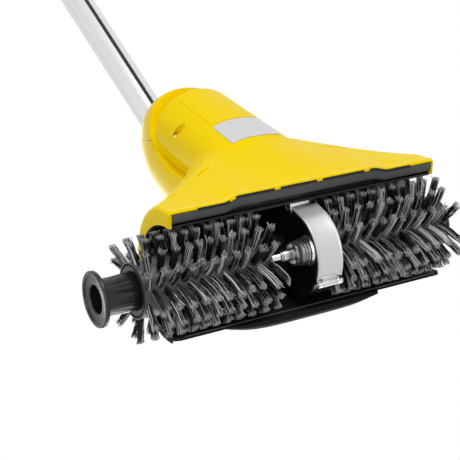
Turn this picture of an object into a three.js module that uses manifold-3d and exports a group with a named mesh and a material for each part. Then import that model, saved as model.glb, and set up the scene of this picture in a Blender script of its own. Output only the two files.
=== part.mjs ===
// Electric patio cleaner: two roller brushes under a moulded hood, a motor neck and a
// telescopic tube with its handles. Millimetres, +Z up, the machine stands on its brushes,
// the front faces -Y and the tube leans back towards +Y. The +X brush is drawn out for changing.
import * as THREE from 'three';
import { mergeVertices } from 'three/addons/utils/BufferGeometryUtils.js';
import Module from 'manifold-3d';

const wasm = await Module();
wasm.setup();

// Roller axis and brushes
const axisHeight = 52.5;
const tipRadius = 49.6;
const coreRadius = 26.6;
const sleeveWall = 1.7;
const brushEndInset = 16;
const brushHome = 19;
const brushDrawn = 33;
const coreFacets = 28;
const coreBoreRadius = 6.4;
const coreBoreDepth = 14;
const coreSlideFit = 0.25;
const spoolPocketDepth = 46;
const coreRunGap = 0.25;

// Bristle tufts
const tuftRows = 14;
const tuftsPerRow = 11;
const tuftMargin = 3.8;
const tuftEndInset = 13;
const tuftRootWidth = 4.2;
const tuftTipWidth = 6.8;
const tuftRootDepth = 0.9;
const tuftStaggerShare = 0.45;
const tuftRowShare = 0.25;
const tuftInnerLeanAngle = 10;
const tuftOuterLeanAngle = 15;
const tuftNextLeanAngle = 7;
const tuftJitterAngle = 3.5;
const tuftTrimShare = 0.035;
const tuftSeed = 7;
const seedFactor = 16807;
const seedLimit = 2147483647;
const seedMiddleShare = 0.5;

// Spool hub that locks and draws out each brush
const spoolFlangeRadius = 26.3;
const spoolFlange = 4;
const spoolBarrelRadius = 17.8;
const spoolBarrelLength = 41;
const spoolWall = 4.6;
const spoolFaceStep = 1.5;
const spoolRimWidth = 4.5;
const spoolEndHole = 4.8;
const spoolDrawn = 33.4;
const spoolFit = 0.4;
const spoolSeatGap = 0.4;

// Core end ring
const endRingRadius = 23.6;
const endRingDepth = 3;
const spoolFacets = 24;

// Drive shaft and stepped hubs
const shaftRadius = 6;
const shaftStepReach = 30;
const spigotRadius = 3.9;
const shaftEndInset = 12;
const shaftFacets = 24;
const pinFacets = 12;
const hubFootRadius = 13.4;
const hubNoseRadius = 11.8;
const hubGrooveDepth = 0.9;
const hubGrooveWidth = 1.6;
const hubFootEnd = 5.4;
const hubNoseEnd = 15.2;
const hubCupRadius = 8.6;
const hubCupDepth = 5;
const hubFit = 0.3;

// Gear case between the brushes
const caseRadius = 41.6;
const caseHalfWidth = 12.8;
const caseRimWidth = 3.4;
const dishFloorReach = -4;
const dishFloorRadius = 17;
const caseBoreRadius = 6.3;
const caseNeckHalfWidth = 11.5;
const caseNeckHalfDepth = 17;
const caseNeckLength = 112;
const caseNeckLeanAngle = 47.4;
const caseHeadLow = -46;
const caseHeadTop = -22;
const caseHeadHalfDepth = 16;
const caseFacets = 32;
const hubSeatGap = 0.3;

// Aluminium wear band round the case
const bandInnerRadius = 42.2;
const bandThickness = 1.2;
const bandHalfWidth = 14;
const bandFrontAngle = -121;
const bandSteps = 12;
const bandBendAngle = -30;
const bandTail = 15.5;
const bandFlangeWidth = 1;
const bandFlangeRise = 1.1;
const hingePinRadius = 1.6;
const hingePinReach = 13.1;
const hingePinHead = 2.7;
const hingePinHeadWidth = 1.3;
const hingeRollRadius = 3;
const hingePinFit = 0.25;
const hingeAngle = -128;
const bandCarrierGap = 0.4;
const bandKnuckleShare = 0.62;
const bandLapAngle = 3;
const bandLapSteps = 2;

// Latch clip at the rear end of the band
const clipHalfWidth = 12;
const clipThickness = 1.2;
const clipReachAngle = 9;
const clipInnerRadius = 44.6;
const clipOuterRadius = 51.8;
const clipLegAngle = -4;
const clipLegTurnAngle = 1.6;
const clipHookTurnAngle = 1.8;
const clipBendTurnAngle = 1.5;

// Brush tunnel, the black inner moulding
const tunnelInnerRadius = 52.4;
const tunnelWall = 2.4;
const tunnelRearAngle = -17;
const tunnelFrontAngle = 148;
const tunnelEndInset = 3.6;
const tunnelSlotGap = 0.3;
const skirtDepth = 3.6;
const skirtInnerY = 54.6;
const skirtInnerRise = 4.2;
const skirtLipGap = 0.4;
const tunnelSteps = 18;
const skirtInnerTurnAngle = 5;
const skirtOuterTurnAngle = 7;

// Front splash plate and its bumper
const apronInnerRadius = 51.2;
const apronWall = 3.6;
const apronTopAngle = 150;
const apronLowAngle = 185.6;
const apronOverhang = 6;
const apronCornerShare = 0.3;
const apronCutTurnAngle = 1;
const apronCorner = 8;
const apronSteps = 8;
const bumperHalfTop = 96;
const bumperHalfLow = 78;
const bumperLipGap = 1.2;
const bumperLow = 35;
const bumperReach = 8;
const bumperBack = 1.4;
const bumperSteps = 12;
const bumperRoundShare = 2.6;
const bumperDipShare = 0.36;

// Hood outline
const hoodHalfWidth = 150;
const hoodWall = 2.8;
const hoodCornerRound = 3;
const hoodLipY = 66.5;
const hoodLipHeight = 31;
const hoodFrontY = -58.6;
const hoodFrontHeight = 64;
const hoodEndRearY = 70.5;
const hoodEndRearHeight = 52;
const hoodEndTopY = 4;
const hoodEndTopHeight = 113.2;
const flareHalfWidth = 50;
const flareRearY = 101;
const flareRearHeight = 122;
const flareTopY = 34;
const flareTopHeight = 205;
const ridgeRearY = 111;
const ridgeRearHeight = 114;
const shoulderHalfWidth = 28;
const shoulderRearY = 106;
const shoulderRearHeight = 116;
const lipFlat = 1.2;
const flarePowerShare = 1.7;
const hoodRearPowerShare = 1.25;
const hoodStationShares = [0, 0.1, 0.25, 0.42, 0.62, 0.82, 1];
const hoodArcSteps = 5;
const endCutRadius = 53.6;
const sideCutFacets = 36;

// Neck: motor barrel and the front envelope that carries the tube
const neckLeanAngle = 70;
const neckPivotY = 93.7;
const neckPivotHeight = 163;
const barrelHalfWidth = 48.5;
const barrelLow = -50;
const barrelLength = 138.7;
const barrelBack = 41.7;
const barrelFront = -46;
const barrelRound = 4.5;
const barrelSectionShares = [
  [0, 1.01, 0.7, 2.4],
  [0.09, 1.01, 0.79, 2.4],
  [0.36, 1, 0.87, 2.25],
  [0.68, 0.99, 0.945, 2.1],
  [1, 0.985, 1, 2],
];
const motorBack = -8;
const barrelFacets = 32;
const neckFoot = -64;
const neckLength = 225;
const neckFrontDepth = 112;
const neckRearDepth = 44;
const neckHalfWidth = 54;
const neckSectionShares = [
  [0, 1, 0.45, 1],
  [0.253, 0.938, 0.68, 0.963],
  [0.462, 0.884, 0.864, 0.944],
  [0.564, 0.848, 0.955, 0.944],
  [0.667, 0.808, 1, 0.926],
  [0.751, 0.759, 0.864, 0.889],
  [0.84, 0.696, 0.614, 0.796],
  [0.916, 0.638, 0.318, 0.676],
  [0.96, 0.598, 0.068, 0.574],
  [0.987, 0.563, -0.114, 0.5],
  [1, 0.536, -0.227, 0.454],
];
const neckRoundShare = 2.5;
const neckFacets = 24;
const neckWall = 3;
const rimSetback = 28;
const rimShares = [
  [-0.42, 1.5],
  [-0.1, 1.08],
  [0.13, 0.98],
  [0.51, 1.02],
  [0.63, 0.77],
  [0.725, 0.1],
  [0.82, -1.36],
  [0.9, -3],
];
const seamShares = [
  [-0.42, 1.5],
  [-0.1, 1.08],
  [0.13, 0.98],
  [0.51, 1.02],
  [0.63, 0.77],
  [0.7, 0.47],
  [0.78, 0.7],
  [0.955, 1.3],
  [1.3, 2.2],
];
const seamGap = 0.3;
const seamFloorY = 29;

// Rating plate, left bare
const plateHalfWidth = 28;
const plateLow = -38;
const plateTop = 2;
const plateThickness = 0.6;
const plateGap = 0.35;
const plateSteps = 8;

// Motor in the neck
const statorRadius = 35;
const statorBore = 21.6;
const statorLow = -18.8;
const statorTop = 50;
const armatureRadius = 20.8;
const armatureShaftRadius = 4;
const armatureLow = -34;
const armatureTop = 72;
const armatureCoreLow = -12;
const armatureCoreTop = 40;
const commutatorRadius = 11;
const commutatorLow = 43;
const commutatorTop = 53;
const armatureFit = 0.35;
const fanRadius = 33;
const fanLow = 57;
const fanTop = 66;
const armatureEndGap = 2;
const motorFacets = 24;
const armatureFacets = 16;
const cradleWall = 2.6;
const cradleFit = 0.4;
const cradleLow = -21.7;
const cradleHole = 6;

// Tube line
const tubeLeanAngle = 48.3;
const tubeAheadOfNeck = 33.7;
const tubeAboveNeck = 103;
const lowerTubeRadius = 17.5;
const lowerTubeWall = 2.1;
const lowerTubeStart = 9;
const lowerTubeEnd = 492;
const grooveWidth = 5;
const grooveDepth = 3.2;
const grooveWall = 1.5;
const slideFit = 0.3;
const upperTubeWall = 2.4;
const upperTubeStart = 332;
const upperTubeEnd = 806;
const tubeFacets = 28;
const socketWall = 2.9;
const socketStart = 16;
const socketEnd = 64;
const collarFit = 0.4;

// Tube clamp
const clampStart = 459;
const clampEnd = 525;
const clampRadius = 24;
const clampEarHalfWidth = 10;
const clampEarWall = 4;
const clampEarReach = 33;
const clampEarStart = 495;
const clampPinRadius = 2.5;
const clampPinReach = 29;
const clampPinPlace = 510;
const clampCamFacets = 14;
const clampLeverLength = 52;
const clampLeverHalfWidth = 5.6;
const clampLeverThickness = 5;
const clampCamRadius = 4.6;
const clampPinFit = 0.2;
const clampSideGap = 0.3;
const clampTip = 1.6;

// Second handle on the tube
const loopPlace = 655;
const loopCollarHalf = 18;
const loopCollarRadius = 23;
const loopBossRadius = 12;
const loopBossReach = 29;
const loopHeight = 118;
const loopWidthHalf = 58;
const loopGripRadius = 10.5;
const loopLegRadius = 4.2;
const loopStraight = 20;
const loopSwellShare = 1.5;
const loopBossGap = 0.3;
const loopBossWidth = 9;
const loopPinRadius = 3.4;
const loopPinFit = 0.25;
const loopKnobRadius = 14;
const loopKnobWidth = 12;
const loopKnobLobes = 6;
const loopKnobWaistShare = 0.78;
const loopKnobBore = 7;
const loopBossFacets = 20;
const loopSteps = 16;
const loopFacets = 10;
const loopShares = [
  [0.3, 0.72],
  [0.62, 1],
  [0.92, 0.86],
  [1, 0.4],
];

// Rear handle
const handleStart = 770;
const handleLength = 190;
const handleHalfWidth = 20;
const handleBevel = 5;
const handleOutlineShares = [
  [0, 0.24],
  [0.12, 0.3],
  [0.3, 0.34],
  [0.62, 0.4],
  [0.88, 0.36],
  [1, 0.12],
  [1.02, -0.28],
  [0.94, -0.62],
  [0.78, -0.74],
  [0.5, -0.66],
  [0.28, -0.46],
  [0.12, -0.3],
  [0, -0.24],
];
const handleHoleShares = [
  [0.34, -0.06],
  [0.5, 0.08],
  [0.74, 0.12],
  [0.86, 0.02],
  [0.88, -0.24],
  [0.8, -0.44],
  [0.62, -0.44],
  [0.42, -0.28],
];
const handleDepth = 100;
const handleSocketFit = 0.3;
const handleSocketDepth = 38;
const triggerStartShare = 0.47;
const triggerEndShare = 0.73;
const triggerHalfWidth = 5.5;
const triggerSlotGap = 0.5;
const triggerSwingGap = 1.6;
const triggerRise = 9;
const triggerPinRadius = 2;
const triggerPinFit = 0.25;
const triggerPinStub = 3;
const triggerPinInset = 6;
const triggerPinRise = 2.4;
const triggerBackShare = -0.44;
const triggerSlotRoof = 3;
const triggerShares = [
  [0, -0.6],
  [0, 0.22],
  [0.5, 0.9],
  [1, 0.7],
  [1, -0.2],
];
const lockBackShare = -0.69;
const glandSetbackShare = 0.3;
const glandTaperShare = 0.8;
const lockPlaceShare = 0.56;
const lockRadius = 5;
const lockRise = 5;
const lockDepth = 7;
const lockFit = 0.4;
const lockFacets = 16;
const glandRadius = 9;
const glandBore = 4.2;
const glandLength = 20;
const glandSeatGap = 0.3;
const glandPlaceShare = -0.1;

const yellow = [0xf6d200, 0.42, 0];
const black = [0x17181a, 0.5, 0];
const darkGrey = [0x2a2c2e, 0.55, 0];
const aluminium = [0xc9ccce, 0.32, 0.9];
const steel = [0xb4b7ba, 0.25, 0.95];
const bristle = [0x3b3c3e, 0.7, 0];
const coreGrey = [0x6f7276, 0.6, 0];
const white = [0xf2f3f4, 0.4, 0];
const copper = [0x8a5a33, 0.4, 0.6];

// Lengths that follow the hood's width and the neck's place
const coreLength = hoodHalfWidth - brushEndInset;
const tuftPitch = (coreLength - tuftEndInset) / (tuftsPerRow - 1);
const shaftReach = coreLength - shaftEndInset;
const tunnelHalfLength = hoodHalfWidth - tunnelEndInset;
const apronHalfLength = hoodHalfWidth + apronOverhang;
const tubeOriginY = neckPivotY - tubeAheadOfNeck;
const tubeOriginHeight = neckPivotHeight + tubeAboveNeck;

const weldReach = 0.0001;
const bevelSteps = 2;
const ovalPower = 2;

const group = new THREE.Group();

const radians = (degrees) => THREE.MathUtils.degToRad(degrees);
const onRoller = (radius, degrees) => [
  radius * Math.cos(radians(degrees)),
  axisHeight + radius * Math.sin(radians(degrees)),
];

// Closed geometry to a boolean solid and back
function solidOf(geometry) {
  const bare = new THREE.BufferGeometry();
  bare.setAttribute('position', geometry.getAttribute('position').clone());
  if (geometry.index) bare.setIndex(geometry.index.clone());
  const merged = mergeVertices(bare, weldReach);
  const position = merged.getAttribute('position');
  const faces = [];
  for (let i = 0; i < merged.index.count; i += 3) {
    const [a, b, c] = [0, 1, 2].map((k) => merged.index.getX(i + k));
    if (a !== b && b !== c && c !== a) faces.push(a, b, c);
  }
  const mesh = new wasm.Mesh({
    numProp: 3,
    vertProperties: new Float32Array(position.array),
    triVerts: new Uint32Array(faces),
  });
  mesh.merge();
  return new wasm.Manifold(mesh);
}

function geometryOf(solid) {
  const mesh = solid.getMesh();
  const geometry = new THREE.BufferGeometry();
  const count = mesh.vertProperties.length / mesh.numProp;
  const position = new Float32Array(count * 3);
  for (let i = 0; i < count; i += 1) {
    for (let k = 0; k < 3; k += 1) position[i * 3 + k] = mesh.vertProperties[i * mesh.numProp + k];
  }
  geometry.setAttribute('position', new THREE.BufferAttribute(position, 3));
  geometry.setIndex(new THREE.BufferAttribute(new Uint32Array(mesh.triVerts), 1));
  geometry.computeVertexNormals();
  return geometry;
}

function addNode(name, solid, look) {
  const [color, roughness, metalness] = look;
  const material = new THREE.MeshStandardMaterial({ color, roughness, metalness });
  material.name = name;
  const mesh = new THREE.Mesh(geometryOf(solid), material);
  mesh.name = name;
  group.add(mesh);
}

// Rings of equal length joined into a closed solid, capped at both ends
function loft(rings) {
  const size = rings[0].length;
  const positions = [];
  const index = [];
  for (const ring of rings) {
    for (const point of ring) positions.push(point.x, point.y, point.z);
  }
  for (let r = 0; r + 1 < rings.length; r += 1) {
    for (let i = 0; i < size; i += 1) {
      const j = (i + 1) % size;
      const a = r * size + i;
      const b = r * size + j;
      const c = (r + 1) * size + j;
      const d = (r + 1) * size + i;
      index.push(a, b, c, a, c, d);
    }
  }
  const cap = (start, flip) => {
    for (let i = 1; i + 1 < size; i += 1) {
      if (flip) index.push(start, start + i + 1, start + i);
      else index.push(start, start + i, start + i + 1);
    }
  };
  cap(0, true);
  cap((rings.length - 1) * size, false);
  const geometry = new THREE.BufferGeometry();
  geometry.setAttribute('position', new THREE.Float32BufferAttribute(positions, 3));
  geometry.setIndex(index);
  let solid = solidOf(geometry);
  if (solid.volume() < 0) {
    for (let i = 0; i < index.length; i += 3) [index[i], index[i + 1]] = [index[i + 1], index[i]];
    geometry.setIndex(index);
    solid = solidOf(geometry);
  }
  return solid;
}

// Thin curved sheets: rings run out along one face and home along the other
function stack(rings) {
  const size = rings[0].length;
  const positions = rings.flat().flatMap((point) => [point.x, point.y, point.z]);
  const index = [];
  for (let r = 0; r + 1 < rings.length; r += 1) {
    for (let i = 0; i < size; i += 1) {
      const j = (i + 1) % size;
      const a = r * size + i;
      const b = r * size + j;
      index.push(a, b, b + size, a, b + size, a + size);
    }
  }
  const last = (rings.length - 1) * size;
  for (let i = 0; i + 1 < size / 2; i += 1) {
    const j = size - 1 - i;
    index.push(i, j, i + 1, i + 1, j, j - 1);
    index.push(last + i, last + i + 1, last + j, last + i + 1, last + j - 1, last + j);
  }
  const geometry = new THREE.BufferGeometry();
  geometry.setAttribute('position', new THREE.Float32BufferAttribute(positions, 3));
  geometry.setIndex(index);
  const solid = solidOf(geometry);
  if (solid.volume() > 0) return solid;
  for (let i = 0; i < index.length; i += 3) [index[i], index[i + 1]] = [index[i + 1], index[i]];
  geometry.setIndex(index);
  return solidOf(geometry);
}

// Outline in (y, z) pulled along X
function slab(outline, from, to, bevel = 0, holes = []) {
  const shape = new THREE.Shape(outline.map(([y, z]) => new THREE.Vector2(y, z)));
  for (const hole of holes) {
    shape.holes.push(new THREE.Path(hole.map(([y, z]) => new THREE.Vector2(y, z))));
  }
  const geometry = new THREE.ExtrudeGeometry(shape, {
    depth: to - from - 2 * bevel,
    bevelEnabled: bevel > 0,
    bevelThickness: bevel,
    bevelSize: bevel,
    bevelOffset: -bevel,
    bevelSegments: bevelSteps,
    steps: 1,
  });
  const basis = new THREE.Matrix4().makeBasis(
    new THREE.Vector3(0, 1, 0),
    new THREE.Vector3(0, 0, 1),
    new THREE.Vector3(1, 0, 0),
  );
  geometry.applyMatrix4(basis);
  geometry.translate(from + bevel, 0, 0);
  return solidOf(geometry);
}

// Profile of (radius, reach) pairs turned round the roller axis; closed on itself
function turned(profile, facets) {
  const points = profile.map(([radius, reach]) => new THREE.Vector2(radius, reach));
  points.push(points[0].clone());
  const geometry = new THREE.LatheGeometry(points, facets);
  geometry.rotateZ(radians(-90));
  geometry.translate(0, 0, axisHeight);
  const solid = solidOf(geometry);
  if (solid.volume() > 0) return solid;
  return turned(profile.slice().reverse(), facets);
}

const shifted = (solid, x, y, z) => solid.translate([x, y, z]);
const mirrored = (solid) => solid.mirror([1, 0, 0]);

// Frames along the neck and along the tube: (x, back, along) to the row frame
const frameAt = (originY, originZ, lean) => {
  const along = new THREE.Vector3(0, Math.cos(radians(lean)), Math.sin(radians(lean)));
  const back = new THREE.Vector3(0, along.z, -along.y);
  const side = new THREE.Vector3(1, 0, 0);
  const matrix = new THREE.Matrix4().makeBasis(side, back, along);
  matrix.setPosition(0, originY, originZ);
  return matrix;
};
const neckFrame = frameAt(neckPivotY, neckPivotHeight, neckLeanAngle);
const tubeFrame = frameAt(tubeOriginY, tubeOriginHeight, tubeLeanAngle);
const inFrame = (matrix, x, back, along) => new THREE.Vector3(x, back, along).applyMatrix4(matrix);
const placed = (geometry, matrix) => solidOf(geometry.applyMatrix4(matrix));

// Solid of revolution about a frame's own length
function spun(profile, facets, matrix, back = 0) {
  const points = profile.map(([radius, along]) => new THREE.Vector2(radius, along));
  points.push(points[0].clone());
  const geometry = new THREE.LatheGeometry(points, facets);
  geometry.rotateX(radians(90));
  geometry.translate(0, back, 0);
  const solid = placed(geometry, matrix);
  if (solid.volume() > 0) return solid;
  return spun(profile.slice().reverse(), facets, matrix, back);
}

// Outline in (x, back) of a frame pulled along its length
function drawn(outline, holes, matrix, from, to) {
  const shape = new THREE.Shape(outline.map(([x, back]) => new THREE.Vector2(x, back)));
  for (const hole of holes) {
    shape.holes.push(new THREE.Path(hole.map(([x, back]) => new THREE.Vector2(x, back))));
  }
  const geometry = new THREE.ExtrudeGeometry(shape, { depth: to - from, bevelEnabled: false });
  geometry.translate(0, 0, from);
  return placed(geometry, matrix);
}

// Outline in (along, back) of a frame pulled sideways, centred on the middle plane
function across(outline, matrix, half, bevel = 0, holes = []) {
  const shape = new THREE.Shape(outline.map(([along, back]) => new THREE.Vector2(along, back)));
  for (const hole of holes) {
    shape.holes.push(new THREE.Path(hole.map(([along, back]) => new THREE.Vector2(along, back))));
  }
  const geometry = new THREE.ExtrudeGeometry(shape, {
    depth: 2 * half - 2 * bevel,
    bevelEnabled: bevel > 0,
    bevelThickness: bevel,
    bevelSize: bevel,
    bevelOffset: -bevel,
    bevelSegments: bevelSteps,
    steps: 1,
  });
  geometry.translate(0, 0, bevel - half);
  const basis = new THREE.Matrix4().makeBasis(
    new THREE.Vector3(0, 0, 1),
    new THREE.Vector3(0, 1, 0),
    new THREE.Vector3(-1, 0, 0),
  );
  geometry.applyMatrix4(basis);
  return placed(geometry, matrix);
}

// Cylinder lying along X at a place in a frame
function crossPin(matrix, along, back, radius, from, to, facets) {
  const geometry = new THREE.CylinderGeometry(radius, radius, to - from, facets);
  geometry.rotateZ(radians(90));
  geometry.translate((from + to) / 2, back, along);
  return placed(geometry, matrix);
}

const arcOnRoller = (radius, from, to, steps) => {
  const points = [];
  for (let i = 0; i <= steps; i += 1) points.push(onRoller(radius, from + ((to - from) * i) / steps));
  return points;
};
const sector = (inner, outer, from, to, steps) => [
  ...arcOnRoller(outer, from, to, steps),
  ...arcOnRoller(inner, to, from, steps),
];

// Hood section at a share of the way from the neck flare to the hood's end
function hoodSection(reach, share, inset, drop) {
  const fall = 1 - share;
  const rearY = hoodEndRearY + (flareRearY - hoodEndRearY) * fall ** hoodRearPowerShare;
  const rearZ = hoodEndRearHeight + (flareRearHeight - hoodEndRearHeight) * fall;
  const topY = hoodEndTopY + (flareTopY - hoodEndTopY) * fall ** flarePowerShare;
  const topZ = hoodEndTopHeight + (flareTopHeight - hoodEndTopHeight) * fall ** flarePowerShare;
  return sectionRing(reach, rearY, rearZ, topY, topZ, inset, drop);
}

function sectionRing(reach, rearY, rearZ, topY, topZ, inset, drop) {
  const ring = [];
  const frontY = hoodFrontY + inset;
  const frontZ = hoodFrontHeight - drop;
  for (let i = 0; i <= hoodArcSteps; i += 1) {
    const turn = radians((90 * i) / hoodArcSteps);
    const y = topY - (topY - frontY) * Math.cos(turn);
    const z = hoodFrontHeight + (topZ - inset - hoodFrontHeight) * Math.sin(turn);
    ring.push(new THREE.Vector3(reach, y, i === 0 ? frontZ : z));
  }
  for (let i = 1; i <= hoodArcSteps; i += 1) {
    const turn = radians((90 * i) / hoodArcSteps);
    const y = topY + (rearY - inset - topY) * Math.sin(turn);
    const z = rearZ + (topZ - inset - rearZ) * Math.cos(turn);
    ring.push(new THREE.Vector3(reach, y, z));
  }
  ring.push(new THREE.Vector3(reach, hoodLipY - inset, hoodLipHeight));
  ring.push(new THREE.Vector3(reach, hoodLipY - inset - lipFlat, hoodLipHeight - drop));
  return ring;
}

function hoodSolid(inset, drop) {
  const half = [];
  for (const share of hoodStationShares) {
    const reach = flareHalfWidth + (hoodHalfWidth - flareHalfWidth) * share;
    const last = share === 1;
    const place = last ? hoodHalfWidth - hoodCornerRound : reach;
    half.push(hoodSection(place, share, inset, drop));
  }
  if (inset === 0) {
    half.push(hoodSection(hoodHalfWidth, 1, hoodCornerRound / 2, 0));
  }
  const middle = (reach, rearY, rearZ) => sectionRing(
    reach,
    rearY,
    rearZ,
    flareTopY,
    flareTopHeight,
    inset,
    drop,
  );
  const ridge = middle(0, ridgeRearY, ridgeRearHeight);
  half.unshift(middle(shoulderHalfWidth, shoulderRearY, shoulderRearHeight));
  const flip = (ring) => ring.map((point) => new THREE.Vector3(-point.x, point.y, point.z));
  const left = half.slice().reverse().map(flip);
  return loft([...left, ridge, ...half]);
}

// Neck envelope from its section shares
function neckSolid(inset) {
  const rings = [];
  const last = neckSectionShares.length - 1;
  neckSectionShares.forEach(([alongShare, frontShare, rearShare, halfShare], at) => {
    const front = -neckFrontDepth * frontShare + inset;
    const rear = neckRearDepth * rearShare - inset;
    const half = neckHalfWidth * halfShare - inset;
    const sink = at === last ? inset : 0;
    const along = neckFoot + neckLength * alongShare - sink;
    const ring = [];
    for (let i = 0; i < neckFacets; i += 1) {
      const turn = (2 * Math.PI * i) / neckFacets;
      const c = Math.cos(turn);
      const s = Math.sin(turn);
      const x = half * Math.sign(c) * Math.abs(c) ** (ovalPower / neckRoundShare);
      const swing = Math.sign(s) * Math.abs(s) ** (ovalPower / neckRoundShare);
      const back = (front + rear) / 2 + ((rear - front) / 2) * swing;
      ring.push(inFrame(neckFrame, x, back, along));
    }
    rings.push(ring);
  });
  return loft(rings);
}

function neckCutter(shares, shift) {
  const line = shares.map(([alongShare, backShare]) => [
    neckFoot + neckLength * alongShare,
    -rimSetback * backShare + shift,
  ]);
  const far = neckFrontDepth + neckLength;
  const outline = [...line, [line[line.length - 1][0], -far], [line[0][0], -far]];
  return across(outline, neckFrame, 2 * hoodHalfWidth);
}

// Barrel section at a height: half width, depth behind its middle and roundness
function barrelSection(along) {
  const share = Math.min(Math.max((along - barrelLow) / barrelLength, 0), 1);
  let at = 0;
  while (at + 2 < barrelSectionShares.length && barrelSectionShares[at + 1][0] < share) at += 1;
  const low = barrelSectionShares[at];
  const high = barrelSectionShares[at + 1];
  const blend = (share - low[0]) / (high[0] - low[0]);
  const mix = (k) => low[k] + (high[k] - low[k]) * blend;
  return { half: barrelHalfWidth * mix(1), back: barrelBack * mix(2), round: mix(3) };
}

function barrelPoint(along, turn, grow) {
  const { half, back, round } = barrelSection(along);
  const c = Math.cos(turn);
  const s = Math.sin(turn);
  const power = s > 0 ? round : ovalPower;
  const x = (half + grow) * Math.sign(c) * Math.abs(c) ** (ovalPower / power);
  const reach = s > 0 ? back + grow : -barrelFront + grow;
  const swing = Math.sign(s) * Math.abs(s) ** (ovalPower / power);
  return inFrame(neckFrame, x, reach * swing, along);
}

function barrelSolid(inset) {
  const top = barrelLow + barrelLength - inset;
  const levels = barrelSectionShares.map(([share]) => [barrelLow + barrelLength * share, 0]);
  levels.pop();
  levels.push([top - barrelRound, 0]);
  levels.push([top - barrelRound * (1 - Math.SQRT1_2), barrelRound * (1 - Math.SQRT1_2)]);
  levels.push([top, barrelRound]);
  const rings = levels.map(([along, shrink]) => {
    const ring = [];
    for (let i = 0; i < barrelFacets; i += 1) {
      ring.push(barrelPoint(along, (2 * Math.PI * i) / barrelFacets, -inset - shrink));
    }
    return ring;
  });
  return loft(rings);
}

// Hood and neck shells
const outerHood = hoodSolid(0, 0);
const outerBarrel = barrelSolid(0);
const outerNeck = neckSolid(0).intersect(neckCutter(rimShares, 0));
const outerShell = outerHood.add(outerBarrel).add(outerNeck);
const innerHood = hoodSolid(hoodWall, 2 * hoodWall);
const innerBarrel = barrelSolid(neckWall);
const innerNeck = neckSolid(neckWall).intersect(neckCutter(rimShares, -neckWall));
const innerShell = innerHood.add(innerBarrel).add(innerNeck);
const brushCut = turned(
  [
    [0, -hoodHalfWidth - hoodWall],
    [endCutRadius, -hoodHalfWidth - hoodWall],
    [endCutRadius, hoodHalfWidth + hoodWall],
    [0, hoodHalfWidth + hoodWall],
  ],
  sideCutFacets,
);
const collarCut = spun(
  [
    [0, socketEnd - socketStart],
    [lowerTubeRadius + collarFit, socketEnd - socketStart],
    [lowerTubeRadius + collarFit, 2 * socketEnd],
    [0, 2 * socketEnd],
  ],
  tubeFacets,
  tubeFrame,
);
const apronCut = slab(
  sector(
    apronInnerRadius - seamGap,
    apronInnerRadius + apronWall + seamGap,
    apronTopAngle - apronCutTurnAngle,
    apronLowAngle,
    apronSteps,
  ),
  -apronHalfLength,
  apronHalfLength,
);
const shell = outerShell.subtract(innerShell).subtract(brushCut).subtract(collarCut);
const seamRegion = (shift) => {
  const upper = neckCutter(seamShares, shift);
  const lower = slab(
    [
      [seamFloorY + shift, 0],
      [seamFloorY + shift, flareTopHeight],
      [-hoodHalfWidth, flareTopHeight],
      [-hoodHalfWidth, 0],
    ],
    -2 * hoodHalfWidth,
    2 * hoodHalfWidth,
  );
  return upper.add(lower);
};
addNode('hood_front_shell', shell.intersect(seamRegion(0)).subtract(apronCut), yellow);
addNode('hood_rear_shell', shell.subtract(seamRegion(seamGap)), yellow);

// Bare rating plate on the back of the barrel
{
  const rings = [plateLow, (plateLow + plateTop) / 2, plateTop].map((along) => {
    const { half, round } = barrelSection(along);
    const edge = Math.acos((plateHalfWidth / half) ** (round / 2));
    const ring = [];
    for (let i = 0; i <= plateSteps; i += 1) {
      const turn = edge + ((Math.PI - 2 * edge) * i) / plateSteps;
      ring.push(barrelPoint(along, turn, plateGap + plateThickness));
    }
    for (let i = plateSteps; i >= 0; i -= 1) {
      const turn = edge + ((Math.PI - 2 * edge) * i) / plateSteps;
      ring.push(barrelPoint(along, turn, plateGap));
    }
    return ring;
  });
  addNode('rating_plate', stack(rings), white);
}

// Gear case: dished disc, neck and a head that seats the motor
const caseNeckOutline = (grow) => {
  const along = [Math.cos(radians(caseNeckLeanAngle)), Math.sin(radians(caseNeckLeanAngle))];
  const half = caseNeckHalfDepth + grow;
  const far = caseNeckLength + grow;
  const corner = (reach, side) => [
    along[0] * reach + along[1] * side,
    axisHeight + along[1] * reach - along[0] * side,
  ];
  return [corner(0, half), corner(far, half), corner(far, -half), corner(0, -half)];
};
const caseDisc = turned(
  [
    [0, -caseHalfWidth],
    [caseRadius, -caseHalfWidth],
    [caseRadius, caseHalfWidth],
    [0, caseHalfWidth],
  ],
  caseFacets,
);
const caseDish = turned(
  [
    [0, dishFloorReach],
    [dishFloorRadius, dishFloorReach],
    [caseRadius - caseRimWidth, caseHalfWidth],
    [caseRadius - caseRimWidth, 2 * caseHalfWidth],
    [0, 2 * caseHalfWidth],
  ],
  caseFacets,
);
const caseBore = turned(
  [
    [0, -2 * caseHalfWidth],
    [caseBoreRadius, -2 * caseHalfWidth],
    [caseBoreRadius, 2 * caseHalfWidth],
    [0, 2 * caseHalfWidth],
  ],
  shaftFacets,
);
const caseHead = across(
  [
    [caseHeadLow, motorBack - caseHeadHalfDepth],
    [caseHeadTop, motorBack - caseHeadHalfDepth],
    [caseHeadTop, motorBack + caseHeadHalfDepth],
    [caseHeadLow, motorBack + caseHeadHalfDepth],
  ],
  neckFrame,
  caseNeckHalfWidth,
);
const casePocket = spun(
  [
    [0, armatureLow - armatureEndGap],
    [armatureShaftRadius + armatureFit, armatureLow - armatureEndGap],
    [armatureShaftRadius + armatureFit, 0],
    [0, 0],
  ],
  shaftFacets,
  neckFrame,
  motorBack,
);
const [hingeY, hingeZ] = onRoller(bandInnerRadius + hingeRollRadius, hingeAngle);
const crossRod = (y, z, radius, from, to, facets) => {
  const geometry = new THREE.CylinderGeometry(radius, radius, to - from, facets);
  geometry.rotateZ(radians(90));
  geometry.translate((from + to) / 2, y, z);
  return solidOf(geometry);
};
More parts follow.
